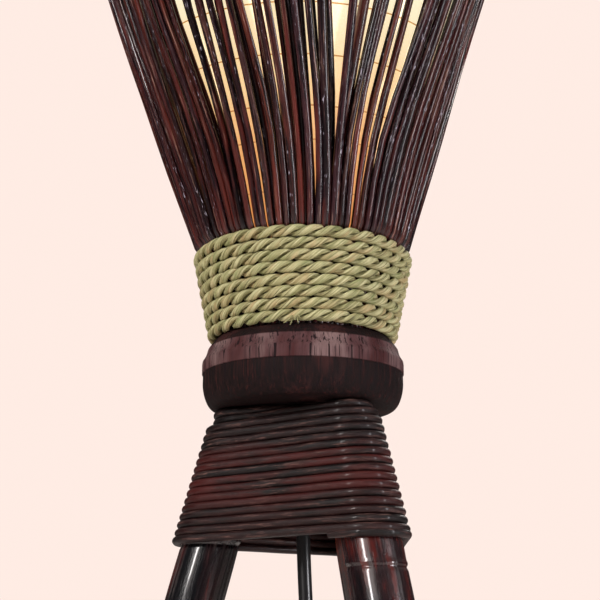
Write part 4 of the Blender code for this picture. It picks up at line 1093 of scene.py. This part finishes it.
def add_legs():
    material = stained_bamboo()
    for leg in range(3):
        (low, _), (high, _) = LEG_ENDS[leg]
        heights = {low.z, low.z + 0.0006, high.z - 0.0006, high.z}
        heights.update(low.z + (high.z - low.z) * step / 90 for step in range(1, 90))
        for joint in LEG_NODES[leg]:
            heights.update(joint + offset / 10000 for offset in range(-60, 61, 6))
        rings = []
        for height in sorted(heights):
            centre = leg_axis(leg, height)
            radius = leg_radius(leg, height)
            if height in (low.z, high.z):
                radius -= 0.0005
            for joint in LEG_NODES[leg]:
                away = (height - joint) / 0.0012
                radius += 0.00035 * math.exp(-away * away) - 0.0006 * math.exp(-(away + 1.6) ** 2 * 1.4)
                radius -= 0.00025 * math.exp(-((height - joint) / 0.012) ** 2)
            ring = []
            for side in range(48):
                angle = TAU * side / 48
                grow = 1.0 + 0.012 * noise.noise(Vector((math.cos(angle) * 1.4, math.sin(angle) * 1.4,
                                                          height * 7.0 + leg * 4.0)))
                grow = min(grow, 1.0) if height > high.z - LEG_NECK_HEIGHT else grow - 0.008
                ring.append(centre + Vector((math.cos(angle), math.sin(angle), 0.0)) * radius * grow)
            rings.append(ring)
        pile = Pile()
        pile.sweep(rings, 0.15 + 0.3 * leg, start=low.z)
        dress(pile.make(f"bamboo_leg_{leg + 1}", material, 45.0), "frame", "bamboo", f"leg_{leg + 1}")


CANE_ACROSS, CANE_UP = 0.00235, 0.00222      # half sizes of the cane's section
CANE_PITCH = 0.00421
CANE_TURNS = 17.0
CANE_TILT_LOW, CANE_TILT_HIGH = 0.004, 0.045
TILT_PIVOT = 0.055
CANE_CLEARANCE = 0.0003
CANE_END_AZIMUTH = FRONT_AZIMUTH + 14.0


def bundle_reach(height, azimuth, proud):
    """Distance from the axis to the rounded outline round the three legs, in one direction."""
    direction = Vector((math.cos(azimuth), math.sin(azimuth), 0.0))
    centres = [leg_axis(leg, height) for leg in range(3)]
    offsets = [leg_radius(leg, height) + proud for leg in range(3)]
    best = 0.0
    for centre, offset in zip(centres, offsets):
        along = centre.x * direction.x + centre.y * direction.y
        square = along * along - (centre.x ** 2 + centre.y ** 2) + offset * offset
        if square > 0:
            best = max(best, along + math.sqrt(square))
    for first in range(3):
        a, b = centres[first], centres[(first + 1) % 3]
        edge = Vector((b.x - a.x, b.y - a.y, 0.0)).normalized()
        normal = Vector((edge.y, -edge.x, 0.0))
        if normal.dot(Vector((a.x, a.y, 0.0))) < 0:
            normal = -normal
        start = Vector((a.x, a.y, 0.0)) + normal * offsets[first]
        end = Vector((b.x, b.y, 0.0)) + normal * offsets[(first + 1) % 3]
        side = end - start
        across = direction.x * side.y - direction.y * side.x
        if abs(across) > 1e-9:
            reach = (start.x * side.y - start.y * side.x) / across
            share = (start.x * direction.y - start.y * direction.x) / across
            if reach > 0 and 0 <= share <= 1:
                best = max(best, reach)
    return best


def add_binding():
    """One length of cane, wound close from the bottom up, its turns tilting more near the top."""
    material = wound_rattan()
    top = BINDING_HIGH.z - CANE_UP - 0.0002
    step = 2.0
    count = int(CANE_TURNS * 360 / step)
    centres, grooves = [], []
    for index in range(count + 1):
        turns = index / count * CANE_TURNS
        azimuth = math.radians(CANE_END_AZIMUTH) + TAU * turns
        tilt = CANE_TILT_LOW + (CANE_TILT_HIGH - CANE_TILT_LOW) * turns / CANE_TURNS
        level = BINDING_LOW.z + CANE_UP + 0.0002 + CANE_PITCH * max(turns - 0.45, 0.0)
        for _ in range(2):
            height = min(max(level, BINDING_LOW.z + CANE_UP), top)
            pull = 0.0040 * eased((height - 0.6215) / 0.0075)
            reach = bundle_reach(height, azimuth, CANE_CLEARANCE + CANE_ACROSS - pull)
            place = Vector((reach * math.cos(azimuth), reach * math.sin(azimuth), height))
            level_tilted = level - tilt * (TILT_PIVOT - place.x)
            over = max(level_tilted - top, 0.0)
            place -= outward(place) * min(over * 0.9, 0.0040)
            height = min(max(level_tilted, BINDING_LOW.z + CANE_UP + 0.0001), top)
            place.z = height
        uneven = noise.noise(Vector((math.cos(azimuth), math.sin(azimuth), turns * 2.3)))
        place -= outward(place) * (0.00035 * max(uneven, 0.0) + 0.0002)
        place.z += 0.00022 * noise.noise(Vector((azimuth * 1.7, 4.0, 0.0)))
        place.z = min(max(place.z, BINDING_LOW.z + CANE_UP), top)
        centres.append(place)
    ends = 16
    for back in range(ends):
        inward = 0.0042 * eased(1 - back / ends)
        centres[back] -= outward(centres[back]) * inward * 0.5
        centres[-1 - back] -= outward(centres[-1 - back]) * inward
    seed = Vector((2.0, 0.0, 0.0))

    def ridged(index, side):
        angle = TAU * side / 14
        return 1.0 + 0.02 * noise.noise(seed + Vector((math.cos(angle) * 2.5, math.sin(angle) * 2.5,
                                                       index * 0.02)))

    rings = tube_rings(centres, CANE_UP * 0.99, CANE_ACROSS * 0.99, 14, None, ridged)
    pile = Pile()
    pile.sweep(rings, 0.4)
    dress(pile.make("cane_winding", material, 60.0), "frame", "rattan", "rattan_binding")


# Collar

def add_collar():
    low, high = COLLAR_LOW.z, COLLAR_HIGH.z
    foot, wide = 0.0445, COLLAR_HIGH.x
    waist, band, band_top = low + 0.013, low + 0.0185, high - 0.005
    profile = [(0.0056, high - 0.0004), (0.0060, high), (0.0448, high), (0.0458, high - 0.0008)]
    profile += [(0.0490 - 0.0004, band_top + 0.0006), (0.0490, band_top)]
    profile += arc_points((0.0492, band_top - 0.0004), (wide - 0.0002, low + 0.0245), 0.0004, 8)
    profile += [(wide, low + 0.0230), (wide, band + 0.0006)]
    profile += [(wide, band), (wide - 0.0005, band - 0.0006), (wide - 0.0004, waist)]
    for step in range(1, 15):
        angle = step / 14 * math.pi / 2
        profile.append((foot + (wide - 0.0004 - foot) * math.cos(angle) ** 0.8,
                        waist - (waist - low - 0.0002) * math.sin(angle) ** 1.25))
    profile += [(foot - 0.0008, low), (0.0060, low), (0.0056, low + 0.0004)]
    collar = lathe("collar", profile, turned_wood(), 160, 28.0)
    for vertex in collar.data.vertices:
        out = math.hypot(vertex.co.x, vertex.co.y)
        if out > 0.03:
            cell = Vector((vertex.co.x * 120, vertex.co.y * 120, vertex.co.z * 160))
            dent = 1 - 0.0016 * abs(noise.noise(cell))
            vertex.co.x *= dent
            vertex.co.y *= dent
    dress(collar, "frame", "collar_wood", "turned_collar")


# Paper lantern

RIB_SPACING = 0.0215
PAPER_SAG = 0.0006


def paper_radius(height):
    return stick_circle(height) - (STICK_BULGE_CIRCLE - PAPER_BULGE) - 0.0002


def radius_near(node, height):
    """Greatest distance from the axis among a node's points at a height."""
    points = [v.co for v in NODES[node].data.vertices if abs(v.co.z - height) < 0.0006]
    return max(math.hypot(p.x, p.y) for p in points)


PAPER_BULGE = radius_near("lantern_paper", BULGE_TOP)


def add_lantern():
    """Paper over thin ribs, sagging a little between them."""
    steps, rows = 144, 210
    wall = 0.0006
    ribs = [BULGE_TOP + 0.012 + RIB_SPACING * n + 0.003 * math.sin(n * 2.1) for n in range(23)]
    ribs = [rib for rib in ribs if rib < PAPER_HIGH.z - 0.004]

    def surface(height, angle, inset):
        nearest = min(abs(height - rib) for rib in ribs)
        sag = PAPER_SAG * eased(nearest / (RIB_SPACING / 2))
        crumple = 0.0005 * noise.noise(Vector((math.cos(angle) * 4, math.sin(angle) * 4, height * 30)))
        out = paper_radius(height) - 0.0004 - sag - inset + min(crumple, 0.0)
        return Vector((out * math.cos(angle) + lean(height), out * math.sin(angle), height))

    heights = [PAPER_LOW.z + (PAPER_HIGH.z - PAPER_LOW.z) * row / rows for row in range(rows + 1)]
    rings = []
    for column in range(steps):
        angle = TAU * column / steps
        rings.append([surface(z, angle, 0.0) for z in heights]
                     + [surface(z, angle, wall) for z in reversed(heights)])
    pile = Pile()
    sides = len(rings[0])
    for ring in rings:
        pile.points.extend(ring)
        pile.tones.extend([0.5] * sides)
    for column in range(steps):
        after = (column + 1) % steps
        for side in range(sides):
            following = (side + 1) % sides
            pile.faces.append((column * sides + side, after * sides + side,
                               after * sides + following, column * sides + following))
            u, v = column / steps, (column + 1) / steps
            pile.uvs.append(((u, side / sides), (v, side / sides),
                             (v, (side + 1) / sides), (u, (side + 1) / sides)))
    paper = pile.make("paper_shade", lit_paper(), 60.0)
    dress(paper, "frame", "paper", "lantern_paper")

    cane = Recipe("lantern_rib", roughness=0.7)
    fibre = cane.noise(cane.place((300.0, 300.0, 300.0)), detail=3.0)
    # Painted light: the ribs get an orange emission glow, as if lit by the bulb, though they are no lamp.
    cane.wire(cane.ramp(fibre, [(0.3, (0.60, 0.30, 0.10)), (0.7, (0.85, 0.50, 0.20))]),
              cane.shader.inputs["Emission Color"])
    cane.shader.inputs["Emission Strength"].default_value = 0.55
    cane.finish(cane.ramp(fibre, [(0.3, (0.40, 0.22, 0.08)), (0.7, (0.60, 0.38, 0.17))]))
    rib_pile = Pile()
    chance = random.Random(3)
    for rib in ribs:
        tilt = Vector((chance.uniform(-1, 1), chance.uniform(-1, 1))) * 0.006
        centres = []
        for step_index in range(97):
            angle = TAU * step_index / 96
            height = rib + (math.cos(angle) * tilt.x + math.sin(angle) * tilt.y) * paper_radius(rib)
            out = paper_radius(height) - 0.0002
            centres.append(Vector((out * math.cos(angle) + lean(height), out * math.sin(angle), height)))
        rib_pile.sweep(tube_rings(centres, 0.00042, 0.00040, 6), chance.random())
    ribs_piece = rib_pile.make("lantern_ribs", cane.material)
    dress(ribs_piece, "frame", "rattan")


# Rings, lamp holder, bulb and fixings

def add_ring(node, material, slot, lean_with_shade=True):
    """A smooth wire ring where the CAD has a coarse one."""
    low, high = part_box(node)
    height, wire = (low.z + high.z) / 2, (high.z - low.z) / 2
    radius = high.x - wire
    shift = lean(height) if lean_with_shade else 0.0
    points = []
    for step in range(128):
        angle = TAU * step / 128
        points.append(Vector((radius * math.cos(angle) + shift, radius * math.sin(angle), height)))
    return dress(wire_curve(f"{node}_wire", points, wire, material, cyclic=True), "frame", slot, node)


def repaint(material, *nodes):
    for name in nodes:
        slots = NODES[name].data.materials
        slots.clear()
        slots.append(material)


def add_small_parts():
    steel = metal("zinc_steel", (0.52, 0.52, 0.50), 0.34, 300.0)
    brass = metal("brass", (0.72, 0.52, 0.22), 0.28, 400.0)
    nickel = metal("nickel", (0.62, 0.60, 0.56), 0.24, 400.0)
    black = moulded("holder_bakelite", (0.014, 0.014, 0.015), 0.35, coat=0.2)
    white = moulded("bulb_plastic", (0.78, 0.77, 0.74), 0.40)
    porcelain = moulded("porcelain", (0.74, 0.73, 0.70), 0.18, 120.0, coat=0.4)
    rubber = moulded("foot_rubber", (0.018, 0.018, 0.018), 0.75, 700.0, 0.0002)
    add_ring("lantern_bottom_ring", steel, "steel")
    add_ring("lantern_top_ring", steel, "steel")
    add_ring("stick_hoop", wound_rattan(), "rattan")

    for number in (1, 2, 3):
        low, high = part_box(f"foot_pad_{number}")
        radius = (high.x - low.x) / 2
        profile = [(0.0, high.z), (radius - 0.0009, high.z), (radius, high.z - 0.0009)]
        profile += [(radius - 0.0005, high.z - 0.0024), (radius - 0.0005, low.z + 0.0024)]
        profile += [(radius, low.z + 0.0014), (radius - 0.0010, low.z), (radius - 0.0050, low.z),
                    (radius - 0.0055, low.z + 0.0006), (0.0, low.z + 0.0006)]
        pad = lathe(f"leg_pad_{number}", profile, rubber, 64, 35.0,
                    ((low.x + high.x) / 2, (low.y + high.y) / 2))
        dress(pad, "frame", "rubber", f"foot_pad_{number}")

    low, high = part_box("bulb_globe")
    radius = high.x
    centre = high.z - radius
    opening = radius_near("bulb_globe", low.z)
    start = -math.acos(min(opening / radius, 1.0))
    angles = [math.pi / 2 + (start - math.pi / 2) * step / 40 for step in range(41)]
    outer = [(radius * math.cos(a), centre + radius * math.sin(a)) for a in angles]
    inner = [((radius - 0.0015) * math.cos(a), max(low.z, centre + (radius - 0.0015) * math.sin(a)))
             for a in reversed(angles)]
    outer[0] = (0.0, outer[0][1])
    inner[-1] = (0.0, inner[-1][1])
    globe = lathe("frosted_bulb", outer + inner, glowing_globe(), 72)
    dress(globe, "bulb", "bulb_globe", "bulb_globe")

    low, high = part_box("bulb_cap")
    radius = high.x
    profile = [(0.0, low.z), (0.0070, low.z), (0.0082, low.z + 0.0009), (radius - 0.0012, low.z + 0.0048)]
    thread_turns, thread_steps = 5, 8
    span = high.z - low.z - 0.0075
    for step in range(thread_turns * thread_steps + 1):
        height = low.z + 0.0050 + span * step / (thread_turns * thread_steps)
        profile.append((radius - 0.0006 - 0.0006 * math.cos(TAU * step / thread_steps), height))
    profile += [(radius - 0.0001, high.z - 0.0016), (radius - 0.0001, high.z),
                (radius - 0.0012, high.z), (radius - 0.0024, low.z + 0.0060), (0.0, low.z + 0.0014)]
    dress(lathe("screw_cap", profile, nickel, 64, 50.0), "bulb", "nickel", "bulb_cap")

    low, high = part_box("holder_shell")
    radius, inside = high.x, high.x - 0.002
    profile = []
    ribs = 9
    for step in range(ribs * 6 + 1):
        height = low.z + 0.0030 + (high.z - low.z - 0.0060) * step / (ribs * 6)
        profile.append((radius - 0.0003 + 0.0003 * math.cos(TAU * step / 6), height))
    profile = ([(inside, low.z + 0.0002), (radius - 0.0004, low.z), (radius, low.z + 0.0005)] + profile
               + [(radius, high.z - 0.0008), (radius - 0.0008, high.z), (inside, high.z)])
    dress(lathe("ribbed_shell", profile, black, 72, 40.0), "frame", "black_plastic", "holder_shell")

    low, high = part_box("cord_grip")
    profile = []
    for step in range(49):
        share = step / 48
        rib = 0.0005 * (1 - eased(abs((share * 7) % 1 - 0.5) * 4)) if 0.06 < share < 0.93 else 0.0
        wide = high.x + (0.0052 - high.x) * share
        profile.append((wide - rib, high.z + (low.z - high.z) * share))
    grip_bore = 0.0038
    profile += [(grip_bore, low.z), (grip_bore, high.z)]
    dress(lathe("ribbed_grip", profile, black, 48, 40.0), "frame", "black_plastic", "cord_grip")

    wood = bare_wood()
    repaint(wood, "leg_dowel_1", "leg_dowel_2", "leg_dowel_3", "stick_hub")
    repaint(steel, "leg_screw_1", "leg_screw_2", "leg_screw_3", "threaded_tube", "washer")
    repaint(brass, "upper_nut", "lower_nut", "centre_contact", "thread_sleeve", "bulb_tip",
            "plug_pin_1", "plug_pin_2")
    repaint(black, "holder_cap")
    repaint(porcelain, "holder_insulator")
    repaint(white, "bulb_body")
    repaint(moulded("flex_pvc", (0.012, 0.012, 0.013), 0.4), "inner_flex")


bpy.context.scene.view_settings.view_transform = "Standard"
add_camera()
add_cord()
add_studio()
add_legs()
add_binding()
add_collar()
add_sticks()
add_rope()
add_lantern()
add_small_parts()

bpy.context.view_layer.update()
